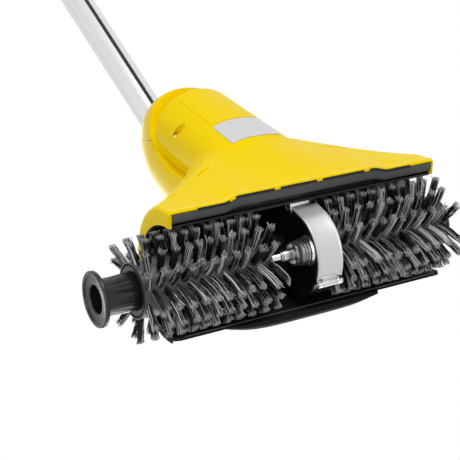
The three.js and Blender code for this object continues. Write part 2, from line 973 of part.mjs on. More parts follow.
const knuckleHalf = caseHalfWidth * bandKnuckleShare;
const lug = (from, to) => {
  const [rootY, rootZ] = onRoller(caseRadius - caseRimWidth, hingeAngle);
  const side = hingeRollRadius;
  const turn = radians(hingeAngle);
  const sideY = -Math.sin(turn) * side;
  const sideZ = Math.cos(turn) * side;
  const block = slab(
    [
      [rootY + sideY, rootZ + sideZ],
      [hingeY + sideY, hingeZ + sideZ],
      [hingeY - sideY, hingeZ - sideZ],
      [rootY - sideY, rootZ - sideZ],
    ],
    from,
    to,
  );
  return block.add(crossRod(hingeY, hingeZ, hingeRollRadius, from, to, pinFacets));
};
const pinBore = (fit) => crossRod(
  hingeY,
  hingeZ,
  hingePinRadius + fit,
  -hoodHalfWidth,
  hoodHalfWidth,
  pinFacets,
);
const gearCase = caseDisc
  .add(slab(caseNeckOutline(0), -caseNeckHalfWidth, caseNeckHalfWidth))
  .add(caseHead)
  .subtract(caseDish)
  .add(lug(knuckleHalf + bandCarrierGap, caseHalfWidth))
  .add(lug(-caseHalfWidth, -knuckleHalf - bandCarrierGap))
  .subtract(caseBore)
  .subtract(casePocket)
  .subtract(pinBore(hingePinFit));
addNode('gear_case', gearCase, black);

// Aluminium wear band with its hinge pin and keeper clip
const bandOuter = bandInnerRadius + bandThickness;
const bandOutline = (inner, outer) => {
  const turn = radians(bandBendAngle);
  const tail = (radius) => {
    const [y, z] = onRoller(radius, bandBendAngle);
    return [y - Math.sin(turn) * bandTail, z + Math.cos(turn) * bandTail];
  };
  return [
    tail(outer),
    ...arcOnRoller(outer, bandBendAngle, bandFrontAngle, bandSteps),
    ...arcOnRoller(inner, bandFrontAngle, bandBendAngle, bandSteps),
    tail(inner),
  ];
};
const bandFlange = (from, to) => slab(
  bandOutline(bandOuter - bandThickness / 2, bandOuter + bandFlangeRise),
  from,
  to,
);
const bandLap = slab(
  sector(
    bandOuter - bandThickness / 2,
    bandOuter + bandThickness,
    bandFrontAngle + bandLapAngle,
    hingeAngle,
    bandLapSteps,
  ),
  -knuckleHalf,
  knuckleHalf,
);
const wearBand = slab(bandOutline(bandInnerRadius, bandOuter), -bandHalfWidth, bandHalfWidth)
  .add(bandFlange(bandHalfWidth - bandFlangeWidth, bandHalfWidth))
  .add(bandFlange(-bandHalfWidth, bandFlangeWidth - bandHalfWidth))
  .add(bandLap)
  .add(crossRod(hingeY, hingeZ, hingeRollRadius, -knuckleHalf, knuckleHalf, pinFacets))
  .subtract(pinBore(hingePinFit));
addNode('wear_band', wearBand, aluminium);
const hingePinEnd = hingePinReach - hingePinHeadWidth;
const hingePinFace = -hingePinReach - hingePinHeadWidth;
const hingePinRoot = hingePinFace + hingePinHeadWidth / 2;
const hingePin = crossRod(hingeY, hingeZ, hingePinRadius, hingePinRoot, hingePinEnd, pinFacets)
  .add(crossRod(hingeY, hingeZ, hingePinHead, hingePinFace, -hingePinReach, pinFacets));
addNode('band_hinge_pin', hingePin, steel);
const clipOutline = [
  onRoller(caseRadius + hubSeatGap, clipReachAngle),
  onRoller(clipOuterRadius, clipReachAngle),
  onRoller(clipOuterRadius, clipLegAngle),
  onRoller(clipInnerRadius, clipLegAngle),
  onRoller(clipInnerRadius, clipLegAngle + clipLegTurnAngle),
  onRoller(clipOuterRadius - clipThickness, clipLegAngle + clipBendTurnAngle),
  onRoller(clipOuterRadius - clipThickness, clipReachAngle - clipBendTurnAngle),
  onRoller(caseRadius + hubSeatGap, clipReachAngle - clipHookTurnAngle),
];
addNode('band_keeper_clip', slab(clipOutline, -clipHalfWidth, clipHalfWidth), steel);

// Brush tunnel with its rear skirt
const tunnelOuter = tunnelInnerRadius + tunnelWall;
const skirtY = hoodLipY - hoodWall - skirtLipGap;
const tunnelRing = slab(
  sector(tunnelInnerRadius, tunnelOuter, tunnelRearAngle, tunnelFrontAngle, tunnelSteps),
  -tunnelHalfLength,
  tunnelHalfLength,
);
const skirt = slab(
  [
    onRoller(tunnelInnerRadius, tunnelRearAngle + skirtInnerTurnAngle),
    onRoller(tunnelInnerRadius, tunnelRearAngle),
    [skirtInnerY, hoodLipHeight + skirtInnerRise],
    [skirtY, hoodLipHeight + skirtLipGap],
    [skirtY, hoodLipHeight + skirtLipGap + skirtDepth],
    onRoller(tunnelOuter, tunnelRearAngle + skirtOuterTurnAngle),
  ],
  -tunnelHalfLength,
  tunnelHalfLength,
);
const tunnelSlot = slab(
  caseNeckOutline(tunnelSlotGap),
  -caseNeckHalfWidth - tunnelSlotGap,
  caseNeckHalfWidth + tunnelSlotGap,
);
addNode('brush_tunnel', tunnelRing.add(skirt).subtract(tunnelSlot), darkGrey);

// Front splash plate with the bumper
const plateFace = new THREE.Shape();
const plateTopZ = hoodEndTopHeight;
const plateLowZ = onRoller(apronInnerRadius, apronLowAngle)[1];
const plateEdge = [
  [0, apronCorner],
  [apronCorner * apronCornerShare, apronCorner * apronCornerShare],
  [apronCorner, 0],
];
const plateRight = plateEdge.map(([inward, rise]) => [apronHalfLength - inward, plateLowZ + rise]);
plateFace.moveTo(-apronHalfLength, plateTopZ);
for (const [x, z] of plateRight) plateFace.lineTo(-x, z);
for (const [x, z] of plateRight.slice().reverse()) plateFace.lineTo(x, z);
plateFace.lineTo(apronHalfLength, plateTopZ);
const plateTrim = new THREE.ExtrudeGeometry(plateFace, { depth: hoodHalfWidth, bevelEnabled: false });
plateTrim.rotateX(radians(90));
const apron = slab(
  sector(apronInnerRadius, apronInnerRadius + apronWall, apronTopAngle, apronLowAngle, apronSteps),
  -apronHalfLength,
  apronHalfLength,
).intersect(solidOf(plateTrim));
const bumperRing = (half, z, reach) => {
  const back = -apronInnerRadius - bumperBack;
  const wall = -apronInnerRadius - apronWall;
  const ring = [new THREE.Vector3(-half, back, z)];
  for (let i = 0; i <= bumperSteps; i += 1) {
    const share = (2 * i) / bumperSteps - 1;
    const swell = 1 - Math.abs(share) ** bumperRoundShare;
    ring.push(new THREE.Vector3(half * share, wall - reach * swell, z));
  }
  ring.push(new THREE.Vector3(half, back, z));
  return ring;
};
const bumperTop = hoodFrontHeight - bumperLipGap;
const bumper = loft([
  bumperRing(bumperHalfLow, bumperLow, bumperReach * bumperDipShare),
  bumperRing((bumperHalfLow + bumperHalfTop) / 2, (bumperLow + bumperTop) / 2, bumperReach),
  bumperRing(bumperHalfTop, bumperTop, bumperReach * bumperDipShare),
]);
addNode('front_splash_plate', apron.add(bumper), black);

// Drive shaft and hubs
const shaftProfile = [
  [0, -shaftReach],
  [spigotRadius, -shaftReach],
  [spigotRadius, -shaftStepReach],
  [shaftRadius, -shaftStepReach],
  [shaftRadius, shaftStepReach],
  [spigotRadius, shaftStepReach],
  [spigotRadius, shaftReach],
  [0, shaftReach],
];
addNode('drive_shaft', turned(shaftProfile, shaftFacets), steel);
const hubBore = shaftRadius + hubFit;
const hubFoot = dishFloorReach + hubSeatGap;
const grooveReach = (hubFoot + hubFootEnd) / 2;
const leftHub = turned(
  [
    [hubBore, hubFoot],
    [hubFootRadius, hubFoot],
    [hubFootRadius, grooveReach - hubGrooveWidth / 2],
    [hubFootRadius - hubGrooveDepth, grooveReach],
    [hubFootRadius, grooveReach + hubGrooveWidth / 2],
    [hubFootRadius, hubFootEnd],
    [hubNoseRadius, hubFootEnd],
    [hubNoseRadius, hubNoseEnd],
    [hubCupRadius, hubNoseEnd],
    [hubCupRadius, hubNoseEnd - hubCupDepth],
    [hubBore, hubNoseEnd - hubCupDepth],
  ],
  spoolFacets,
);
addNode('left_drive_hub', leftHub, steel);
const rightHub = turned(
  [
    [hubBore, -caseHalfWidth - hubSeatGap],
    [hubNoseRadius, -caseHalfWidth - hubSeatGap],
    [hubNoseRadius, -hubNoseEnd - hubGrooveWidth],
    [hubBore, -hubNoseEnd - hubGrooveWidth],
  ],
  spoolFacets,
);
addNode('right_drive_hub', rightHub, steel);

// Brush core, tufts and end ring, built for the +X side at the home place
const sleeveInner = coreRadius - sleeveWall;
const coreInner = sleeveInner - coreRunGap;
const brushEnd = brushHome + coreLength;
const spoolPocket = spoolBarrelRadius + spoolFit;
const coreSolid = () => turned(
  [
    [coreBoreRadius, brushHome],
    [coreInner, brushHome],
    [coreInner, brushEnd - endRingDepth],
    [spoolPocket, brushEnd - endRingDepth],
    [spoolPocket, brushEnd - spoolPocketDepth],
    [spigotRadius + coreSlideFit, brushEnd - spoolPocketDepth],
    [spigotRadius + coreSlideFit, brushHome + coreBoreDepth],
    [coreBoreRadius, brushHome + coreBoreDepth],
  ],
  coreFacets,
);
const endRingSolid = () => turned(
  [
    [spoolPocket, brushEnd - endRingDepth + hubSeatGap],
    [endRingRadius, brushEnd - endRingDepth + hubSeatGap],
    [endRingRadius, brushEnd],
    [spoolPocket, brushEnd],
  ],
  spoolFacets,
);
let seed = tuftSeed;
const chance = () => {
  seed = (seed * seedFactor) % seedLimit;
  return seed / seedLimit - seedMiddleShare;
};
function tuft(reach, angle, lean, swing, trim) {
  const root = coreRadius - tuftRootDepth;
  const length = (tipRadius - root) * (1 - trim) * Math.cos(radians(lean));
  const tipReach = reach + (tipRadius - root) * (1 - trim) * Math.sin(radians(lean));
  const facing = radians(angle);
  const tipFacing = radians(angle + swing);
  const ring = (centre, radius, turn, half) => {
    const out = new THREE.Vector3(0, Math.cos(turn), Math.sin(turn));
    const round = new THREE.Vector3(0, -Math.sin(turn), Math.cos(turn));
    const corners = [[-1, -1], [1, -1], [1, 1], [-1, 1]];
    return corners.map(([a, b]) => new THREE.Vector3(centre + a * half, 0, axisHeight)
      .addScaledVector(out, radius)
      .addScaledVector(round, b * half));
  };
  return loft([
    ring(reach, root, facing, tuftRootWidth / 2),
    ring(tipReach, root + length, tipFacing, tuftTipWidth / 2),
  ]);
}
function bristleSolid() {
  const sleeve = turned(
    [
      [sleeveInner, brushHome],
      [coreRadius, brushHome],
      [coreRadius, brushEnd],
      [sleeveInner, brushEnd],
    ],
    coreFacets,
  );
  const tufts = [];
  for (let row = 0; row < tuftRows; row += 1) {
    const stagger = (row % 2) * tuftStaggerShare * tuftPitch;
    const angle = ((row + tuftRowShare) * 360) / tuftRows;
    for (let i = 0; i < tuftsPerRow; i += 1) {
      const fromEnd = Math.min(i, tuftsPerRow - 1 - i);
      const side = i < tuftsPerRow / 2 ? -1 : 1;
      let lean = tuftJitterAngle * chance() * 2;
      if (i === 0) lean = -tuftInnerLeanAngle;
      if (i === tuftsPerRow - 1) lean = tuftOuterLeanAngle;
      if (fromEnd === 1) lean = side * tuftNextLeanAngle;
      const swing = tuftJitterAngle * chance();
      const trim = tuftTrimShare * (chance() + seedMiddleShare);
      const reach = brushHome + tuftMargin + stagger + i * tuftPitch;
      tufts.push(tuft(reach, angle, lean, swing, trim));
    }
  }
  return wasm.Manifold.union([sleeve, ...tufts]);
}
const spoolHome = brushEnd + spoolSeatGap;
function spoolSolid() {
  const out = spoolHome + spoolFlange;
  const inner = spoolHome - spoolBarrelLength;
  const boreRadius = spoolBarrelRadius - spoolWall;
  return turned(
    [
      [spoolEndHole, inner],
      [spoolBarrelRadius, inner],
      [spoolBarrelRadius, spoolHome],
      [spoolFlangeRadius, spoolHome],
      [spoolFlangeRadius, out],
      [spoolFlangeRadius - spoolRimWidth, out],
      [spoolFlangeRadius - spoolRimWidth, out - spoolFaceStep],
      [boreRadius, out - spoolFaceStep],
      [boreRadius, inner + spoolWall],
      [spoolEndHole, inner + spoolWall],
    ],
    spoolFacets,
  );
}
const bristles = bristleSolid();
addNode('left_brush_core', shifted(coreSolid(), brushDrawn, 0, 0), coreGrey);
addNode('left_bristles', shifted(bristles, brushDrawn, 0, 0), bristle);
addNode('left_core_ring', shifted(endRingSolid(), brushDrawn, 0, 0), black);
addNode('left_spool_hub', shifted(spoolSolid(), brushDrawn + spoolDrawn, 0, 0), black);
addNode('right_brush_core', mirrored(coreSolid()), coreGrey);
addNode('right_bristles', mirrored(bristles), bristle);
addNode('right_core_ring', mirrored(endRingSolid()), black);
addNode('right_spool_hub', mirrored(spoolSolid()), black);

// Motor in the neck
addNode('motor_stator', spun(
  [
    [statorBore, statorLow],
    [statorRadius, statorLow],
    [statorRadius, statorTop],
    [statorBore, statorTop],
  ],
  motorFacets,
  neckFrame,
  motorBack,
), steel);
addNode('motor_armature', spun(
  [
    [0, armatureLow],
    [armatureShaftRadius, armatureLow],
    [armatureShaftRadius, armatureCoreLow],
    [armatureRadius, armatureCoreLow],
    [armatureRadius, armatureCoreTop],
    [armatureShaftRadius, armatureCoreTop],
    [armatureShaftRadius, commutatorLow],
    [commutatorRadius, commutatorLow],
    [commutatorRadius, commutatorTop],
    [armatureShaftRadius, commutatorTop],
    [armatureShaftRadius, fanLow],
    [fanRadius, fanLow],
    [fanRadius, fanTop],
    [armatureShaftRadius, fanTop],
    [armatureShaftRadius, armatureTop],
    [0, armatureTop],
  ],
  armatureFacets,
  neckFrame,
  motorBack,
), copper);
const cradleRadius = statorRadius + cradleFit;
addNode('motor_cradle', spun(
  [
    [cradleHole, cradleLow],
    [cradleRadius + cradleWall, cradleLow],
    [cradleRadius + cradleWall, statorTop],
    [cradleRadius, statorTop],
    [cradleRadius, cradleLow + cradleWall],
    [cradleHole, cradleLow + cradleWall],
  ],
  motorFacets,
  neckFrame,
  motorBack,
), black);

// Tube with a slot along its underside, and the sliding tube keyed to it
function slottedRing(radius, width, depth) {
  const ring = [];
  const half = Math.asin(width / 2 / radius);
  for (let i = 0; i <= tubeFacets; i += 1) {
    const turn = Math.PI / 2 + half + ((2 * Math.PI - 2 * half) * i) / tubeFacets;
    ring.push([radius * Math.cos(turn), radius * Math.sin(turn)]);
  }
  ring.push([width / 2, radius - depth]);
  ring.push([-width / 2, radius - depth]);
  return ring;
}
const lowerInner = lowerTubeRadius - lowerTubeWall;
const keyWidth = grooveWidth + 2 * grooveWall;
const keyDepth = grooveDepth + grooveWall - lowerTubeWall;
addNode('lower_tube', drawn(
  slottedRing(lowerTubeRadius, grooveWidth, grooveDepth),
  [slottedRing(lowerInner, keyWidth, keyDepth)],
  tubeFrame,
  lowerTubeStart,
  lowerTubeEnd,
), aluminium);
const upperRadius = lowerInner - slideFit;
const upperInner = upperRadius - upperTubeWall;
addNode('upper_tube', drawn(
  slottedRing(upperRadius, keyWidth + 2 * slideFit, keyDepth + slideFit),
  [slottedRing(upperInner, keyWidth + 2 * slideFit + 2 * upperTubeWall, keyDepth + slideFit)],
  tubeFrame,
  upperTubeStart,
  upperTubeEnd,
), aluminium);
const socketInner = lowerTubeRadius + slideFit;
addNode('tube_socket', spun(
  [
    [socketInner, socketStart],
    [socketInner + socketWall, socketStart],
    [socketInner + socketWall, socketEnd],
    [socketInner, socketEnd],
  ],
  tubeFacets,
  tubeFrame,
), black);

// Tube clamp and its lever
const box = (along, alongTo, back, backTo) => [
  [along, back],
  [alongTo, back],
  [alongTo, backTo],
  [along, backTo],
];
const clampBody = spun(
  [
    [lowerTubeRadius + slideFit, clampStart],
    [clampRadius, clampStart],
    [clampRadius, clampEnd],
    [upperRadius + slideFit, clampEnd],
    [upperRadius + slideFit, lowerTubeEnd + slideFit],
    [lowerTubeRadius + slideFit, lowerTubeEnd + slideFit],
  ],
  tubeFacets,
  tubeFrame,
);
const earBlock = across(
  box(clampEarStart, clampEnd, clampRadius - clampEarWall, clampEarReach),
  tubeFrame,
  clampEarHalfWidth,
);
const earGap = across(
  box(clampEarStart - clampEarWall, clampEnd + clampEarWall, clampRadius, 2 * clampEarReach),
  tubeFrame,
  clampLeverHalfWidth + clampSideGap,
);
const clampBore = (fit) => crossPin(
  tubeFrame,
  clampPinPlace,
  clampPinReach,
  clampPinRadius + fit,
  -2 * clampEarHalfWidth,
  2 * clampEarHalfWidth,
  pinFacets,
);
const clampTube = spun(
  [
    [0, clampStart],
    [lowerTubeRadius, clampStart],
    [lowerTubeRadius, clampEnd],
    [0, clampEnd],
  ],
  tubeFacets,
  tubeFrame,
);
const clampEars = earBlock.subtract(clampTube).subtract(earGap);
addNode('clamp_collar', clampBody.add(clampEars).subtract(clampBore(clampPinFit)), black);
addNode('clamp_pin', crossPin(
  tubeFrame,
  clampPinPlace,
  clampPinReach,
  clampPinRadius,
  -clampEarHalfWidth,
  clampEarHalfWidth,
  pinFacets,
), steel);
const leverArm = across(
  [
    [clampPinPlace, clampPinReach - clampCamRadius + clampTip],
    [clampPinPlace, clampPinReach + clampCamRadius],
    [clampPinPlace - clampLeverLength, clampPinReach + clampCamRadius - clampTip],
    [clampPinPlace - clampLeverLength - clampTip, clampPinReach + clampCamRadius - clampLeverThickness],
  ],
  tubeFrame,
  clampLeverHalfWidth,
);
const leverCam = crossPin(
  tubeFrame,
  clampPinPlace,
  clampPinReach,
  clampCamRadius,
  -clampLeverHalfWidth,
  clampLeverHalfWidth,
  clampCamFacets,
);
addNode('clamp_lever', leverArm.add(leverCam).subtract(clampBore(clampPinFit)), darkGrey);

// Second handle: collar, loop, pivot pins and knob
const loopTubeCut = spun(
  [
    [0, loopPlace - 2 * loopCollarHalf],
    [upperRadius + slideFit, loopPlace - 2 * loopCollarHalf],
    [upperRadius + slideFit, loopPlace + 2 * loopCollarHalf],
    [0, loopPlace + 2 * loopCollarHalf],
  ],
  tubeFacets,
  tubeFrame,
);
const loopBoss = (from, to) => crossPin(
  tubeFrame,
  loopPlace,
  0,
  loopBossRadius,
  from,
  to,
  loopBossFacets,
);
const loopPin = (fit, from, to) => crossPin(
  tubeFrame,
  loopPlace,
  0,
  loopPinRadius + fit,
  from,
  to,
  pinFacets,
);
const loopCollar = spun(
  [
    [0, loopPlace - loopCollarHalf],
    [loopCollarRadius, loopPlace - loopCollarHalf],
    [loopCollarRadius, loopPlace + loopCollarHalf],
    [0, loopPlace + loopCollarHalf],
  ],
  tubeFacets,
  tubeFrame,
)
  .add(loopBoss(-loopBossReach, loopBossReach))
  .subtract(loopTubeCut)
  .subtract(loopPin(loopPinFit, -2 * loopBossReach, 2 * loopBossReach));
addNode('loop_collar', loopCollar, black);
const bossFrom = loopBossReach + loopBossGap;
const bossTo = bossFrom + loopBossWidth;
const legReach = (bossFrom + bossTo) / 2;
const loopSide = loopShares.map(([heightShare, halfShare]) => [
  loopWidthHalf * halfShare,
  -loopHeight * heightShare,
]);
const loopArm = [[legReach, 0], [legReach, -loopStraight], ...loopSide];
const loopCurve = new THREE.CatmullRomCurve3(
  [
    ...loopArm.map(([x, back]) => new THREE.Vector3(x, back, loopPlace)),
    ...loopArm.slice().reverse().map(([x, back]) => new THREE.Vector3(-x, back, loopPlace)),
  ],
  false,
  'centripetal',
);
const loopRings = [];
for (let i = 0; i <= loopSteps; i += 1) {
  const centre = loopCurve.getPointAt(i / loopSteps);
  const tangent = loopCurve.getTangentAt(i / loopSteps);
  const normal = new THREE.Vector3(-tangent.y, tangent.x, 0);
  const rise = THREE.MathUtils.clamp(-centre.y / loopHeight, 0, 1) ** loopSwellShare;
  const radius = loopLegRadius + (loopGripRadius - loopLegRadius) * rise;
  const ring = [];
  for (let k = 0; k < loopFacets; k += 1) {
    const turn = (2 * Math.PI * k) / loopFacets;
    ring.push(new THREE.Vector3(0, 0, radius * Math.sin(turn))
      .add(centre)
      .addScaledVector(normal, radius * Math.cos(turn))
      .applyMatrix4(tubeFrame));
  }
  loopRings.push(ring);
}
const loopSolid = loft(loopRings)
  .add(loopBoss(bossFrom, bossTo))
  .add(loopBoss(-bossTo, -bossFrom))
  .subtract(loopPin(loopPinFit, -bossTo - loopBossGap, bossTo + loopBossGap));
addNode('loop_handle', loopSolid, black);
const pinFrom = upperRadius + slideFit + loopBossGap;
const knobFrom = bossTo + loopBossGap;
const knobOutline = [];
for (let i = 0; i < 2 * loopKnobLobes; i += 1) {
  const turn = (Math.PI * i) / loopKnobLobes;
  const radius = loopKnobRadius * (i % 2 === 0 ? 1 : loopKnobWaistShare);
  knobOutline.push([loopPlace + radius * Math.cos(turn), radius * Math.sin(turn)]);
}
const knobPlace = knobFrom + loopKnobWidth / 2;
const knob = shifted(across(knobOutline, tubeFrame, loopKnobWidth / 2), knobPlace, 0, 0);
const knobBoreEnd = knobFrom + loopKnobBore;
addNode('loop_pin_left', loopPin(0, pinFrom, knobBoreEnd - loopBossGap), steel);
addNode('loop_pin_right', loopPin(0, -bossTo, -pinFrom), steel);
addNode('loop_knob', knob.subtract(loopPin(loopPinFit, 0, knobBoreEnd)), black);

// Rear handle with trigger, lock button and cable gland
const handlePoint = ([alongShare, backShare]) => [
  handleStart + handleLength * alongShare,
  handleDepth * backShare,
];
const triggerStart = handleStart + handleLength * triggerStartShare;
const triggerEnd = handleStart + handleLength * triggerEndShare;
const triggerBack = handleDepth * triggerBackShare;
const triggerPlace = triggerStart + triggerPinInset;
const handleBody = across(
  handleOutlineShares.map(handlePoint),
  tubeFrame,
  handleHalfWidth,
  handleBevel,
).subtract(across(handleHoleShares.map(handlePoint), tubeFrame, 2 * handleHalfWidth));
const handleBore = spun(
  [
    [0, handleStart - handleSocketDepth],
    [upperRadius + handleSocketFit, handleStart - handleSocketDepth],
    [upperRadius + handleSocketFit, handleStart + handleSocketDepth],
    [0, handleStart + handleSocketDepth],
  ],
  tubeFacets,
  tubeFrame,
);
const triggerSlot = across(
  box(
    triggerStart - triggerSlotGap,
    triggerEnd + triggerSwingGap,
    triggerBack - triggerRise - triggerSlotRoof,
    triggerBack + triggerRise,
  ),
  tubeFrame,
  triggerHalfWidth + triggerSlotGap,
);
const lockPlace = handleStart + handleLength * lockPlaceShare;
const lockTop = handleDepth * lockBackShare - lockRise;
const lockCylinder = (radius, from, to) => {
  const geometry = new THREE.CylinderGeometry(radius, radius, to - from, lockFacets);
  geometry.translate(0, (from + to) / 2, lockPlace);
  return placed(geometry, tubeFrame);
};
const lockLow = lockTop + lockRise + lockDepth;
const triggerPin = (fit) => crossPin(
  tubeFrame,
  triggerPlace,
  triggerBack - triggerPinRise,
  triggerPinRadius + fit,
  -triggerHalfWidth - triggerPinStub - fit,
  triggerHalfWidth + triggerPinStub + fit,
  pinFacets,
);
const glandBack = handleDepth * glandPlaceShare;
const glandStart = handleStart + handleLength - glandLength * glandSetbackShare;
const glandSeat = spun(
  [
    [0, glandStart - glandSeatGap],
    [glandRadius + glandSeatGap, glandStart - glandSeatGap],
    [glandRadius + glandSeatGap, glandStart + glandLength],
    [0, glandStart + glandLength],
  ],
  lockFacets,
  tubeFrame,
  glandBack,
);
addNode('rear_handle', handleBody
  .subtract(handleBore)
  .subtract(triggerSlot)
  .subtract(triggerPin(triggerPinFit))
  .subtract(lockCylinder(lockRadius + lockFit, lockTop - lockRise, lockLow + lockRise))
  .subtract(glandSeat), black);
const triggerOutline = triggerShares.map(([alongShare, backShare]) => [
  triggerStart + (triggerEnd - triggerStart) * alongShare,
  triggerBack + triggerRise * backShare,
]);
const trigger = across(triggerOutline, tubeFrame, triggerHalfWidth).add(triggerPin(0));
addNode('trigger', trigger, darkGrey);
addNode('lock_button', lockCylinder(lockRadius, lockTop, lockLow), darkGrey);
addNode('cable_gland', spun(
  [
    [glandBore, glandStart],
    [glandRadius, glandStart],
    [glandRadius * glandTaperShare, glandStart + glandLength],
    [glandBore, glandStart + glandLength],
  ],
  lockFacets,
  tubeFrame,
  glandBack,
), black);

// The frame's origin is the middle of the object's footprint on the ground
const extent = new THREE.Box3().setFromObject(group);
const middle = extent.getCenter(new THREE.Vector3());
for (const mesh of group.children) {
  mesh.geometry.translate(-middle.x, -middle.y, -extent.min.z);
}

export default group;
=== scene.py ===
import math
import random

import bpy
from mathutils import Euler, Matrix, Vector


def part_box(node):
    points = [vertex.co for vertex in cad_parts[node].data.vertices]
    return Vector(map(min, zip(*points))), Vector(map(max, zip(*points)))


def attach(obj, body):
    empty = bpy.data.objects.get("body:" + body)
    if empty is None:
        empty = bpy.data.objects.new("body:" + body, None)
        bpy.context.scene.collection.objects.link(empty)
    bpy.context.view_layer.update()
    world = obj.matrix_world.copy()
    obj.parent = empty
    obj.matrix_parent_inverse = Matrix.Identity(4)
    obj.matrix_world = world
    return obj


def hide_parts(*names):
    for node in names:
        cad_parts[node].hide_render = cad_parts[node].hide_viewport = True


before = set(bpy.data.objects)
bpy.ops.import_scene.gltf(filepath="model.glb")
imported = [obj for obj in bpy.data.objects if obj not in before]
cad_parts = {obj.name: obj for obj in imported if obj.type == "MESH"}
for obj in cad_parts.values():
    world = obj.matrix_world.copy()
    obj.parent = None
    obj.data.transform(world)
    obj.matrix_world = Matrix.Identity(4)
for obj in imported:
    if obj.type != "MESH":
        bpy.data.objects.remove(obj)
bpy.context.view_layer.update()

# Where things are
# Sizes are in millimetres from the roller axis: x along it towards the drawn-out brush, y towards
# the user, z up from the ground, with the axis itself 52.5 mm above the ground.
AXIS_HEIGHT = 52.5
shaft_low, shaft_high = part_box("drive_shaft")
shaft_middle = (Vector(shaft_low) + Vector(shaft_high)) / 2


def at(x, y, z):
    return Vector((
        shaft_middle.x + x / 1000,
        shaft_middle.y + y / 1000,
        shaft_middle.z + (z - AXIS_HEIGHT) / 1000,
    ))


# Camera
# It looks up at the brushes from below and to the left, as the machine is shown tipped back for
# a brush change. The lens takes in the head and the start of the tube.
CAMERA_PLACE = (655.98, 218.54, -1009.14)
CAMERA_TURN = (175.5605, 29.3986, -171.4038)
FRAME_SIDE = 460
FOCAL_PIXELS = 1310.06
SENSOR = 36

lens = bpy.data.cameras.new("camera")
lens.sensor_fit = "HORIZONTAL"
lens.sensor_width = SENSOR
lens.sensor_height = SENSOR
lens.lens = SENSOR * FOCAL_PIXELS / FRAME_SIDE
lens.clip_start = 0.05
lens.clip_end = 20
camera = bpy.data.objects.new("camera", lens)
camera.location = at(*CAMERA_PLACE)
camera.rotation_euler = Euler([math.radians(turn) for turn in CAMERA_TURN], "XYZ")
bpy.context.scene.collection.objects.link(camera)
bpy.context.scene.camera = camera

# Studio
# A wide pale floor that carries the shadow when it is seen from above, a white surround and four
# soft lamps. The floor lets light through from below, because the machine is shown from under it.
scene = bpy.context.scene
scene.view_settings.view_transform = "Standard"


def shader_tree(owner):
    owner.use_nodes = True
    owner.node_tree.nodes.clear()
    return owner.node_tree


def add_node(tree, kind, sockets=None, **settings):
    """A new node's outputs. Each of its sockets gets a value or is joined to another output."""
    node = tree.nodes.new("ShaderNode" + kind)
    for key, value in settings.items():
        setattr(node, key, value)
    for socket, value in (sockets or {}).items():
        if isinstance(value, bpy.types.NodeSocket):
            tree.links.new(value, node.inputs[socket])
        else:
            node.inputs[socket].default_value = value
    return node.outputs


WHITE = (1, 1, 1, 1)
surround = bpy.data.worlds.new("surround")
scene.world = surround
tree = shader_tree(surround)
path = add_node(tree, "LightPath")
clear_view = add_node(tree, "Math", {0: path["Is Glossy Ray"], 1: path["Is Transmission Ray"]},
                      operation="MAXIMUM")
either = add_node(tree, "Math", {0: path["Is Camera Ray"], 1: clear_view[0]},
                  operation="MAXIMUM")
lit = add_node(tree, "Background", {"Color": WHITE, "Strength": 0.5})
seen = add_node(tree, "Background", {"Color": WHITE, "Strength": 1.0})
mix = add_node(tree, "MixShader", {0: either[0], 1: lit[0], 2: seen[0]})
add_node(tree, "OutputWorld", {0: mix[0]})

bpy.ops.object.select_all(action="DESELECT")
bpy.ops.mesh.primitive_plane_add(size=14, location=(0, 0, -0.0005))
floor = bpy.context.object
floor.name = "floor"
floor_paint = bpy.data.materials.new("floor_paint")
tree = shader_tree(floor_paint)
path = add_node(tree, "LightPath")
face = add_node(tree, "NewGeometry")
front = add_node(tree, "Math", {0: 1, 1: face["Backfacing"]}, operation="SUBTRACT")
shown = add_node(tree, "Math", {0: path["Is Camera Ray"], 1: front[0]}, operation="MULTIPLY")
speckle = add_node(tree, "TexNoise", {"Scale": 60.0})
tone = add_node(tree, "MapRange", {0: speckle[0], "To Min": 0.45, "To Max": 0.47})
paint = add_node(tree, "BsdfDiffuse", {"Color": tone[0]})
glow = add_node(tree, "Emission", {"Color": WHITE, "Strength": 0.52})
white = add_node(tree, "AddShader", {0: paint[0], 1: glow[0]})
clear = add_node(tree, "BsdfTransparent")
mix = add_node(tree, "MixShader", {0: shown[0], 1: clear[0], 2: white[0]})
add_node(tree, "OutputMaterial", {0: mix[0]})
floor.data.materials.append(floor_paint)


def softbox(name, place, aim, size, power):
    lamp = bpy.data.lights.new(name, "AREA")
    lamp.shape = "SQUARE"
    lamp.size = size
    lamp.energy = power
    holder = bpy.data.objects.new(name, lamp)
    holder.location = place
    holder.rotation_euler = (Vector(aim) - Vector(place)).to_track_quat("-Z", "Y").to_euler()
    scene.collection.objects.link(holder)


head_middle = at(0, 30, 90)
softbox("lamp_picture_top", at(-100, 1500, -700), head_middle, 0.8, 11)
softbox("lamp_picture_left", at(1500, 300, -800), head_middle, 1.0, 7)
softbox("lamp_overhead", at(-500, -600, 2200), at(0, 200, 400), 1.6, 26)
softbox("lamp_front", at(-1400, -3700, 1100), at(0, 100, 300), 2.8, 56)

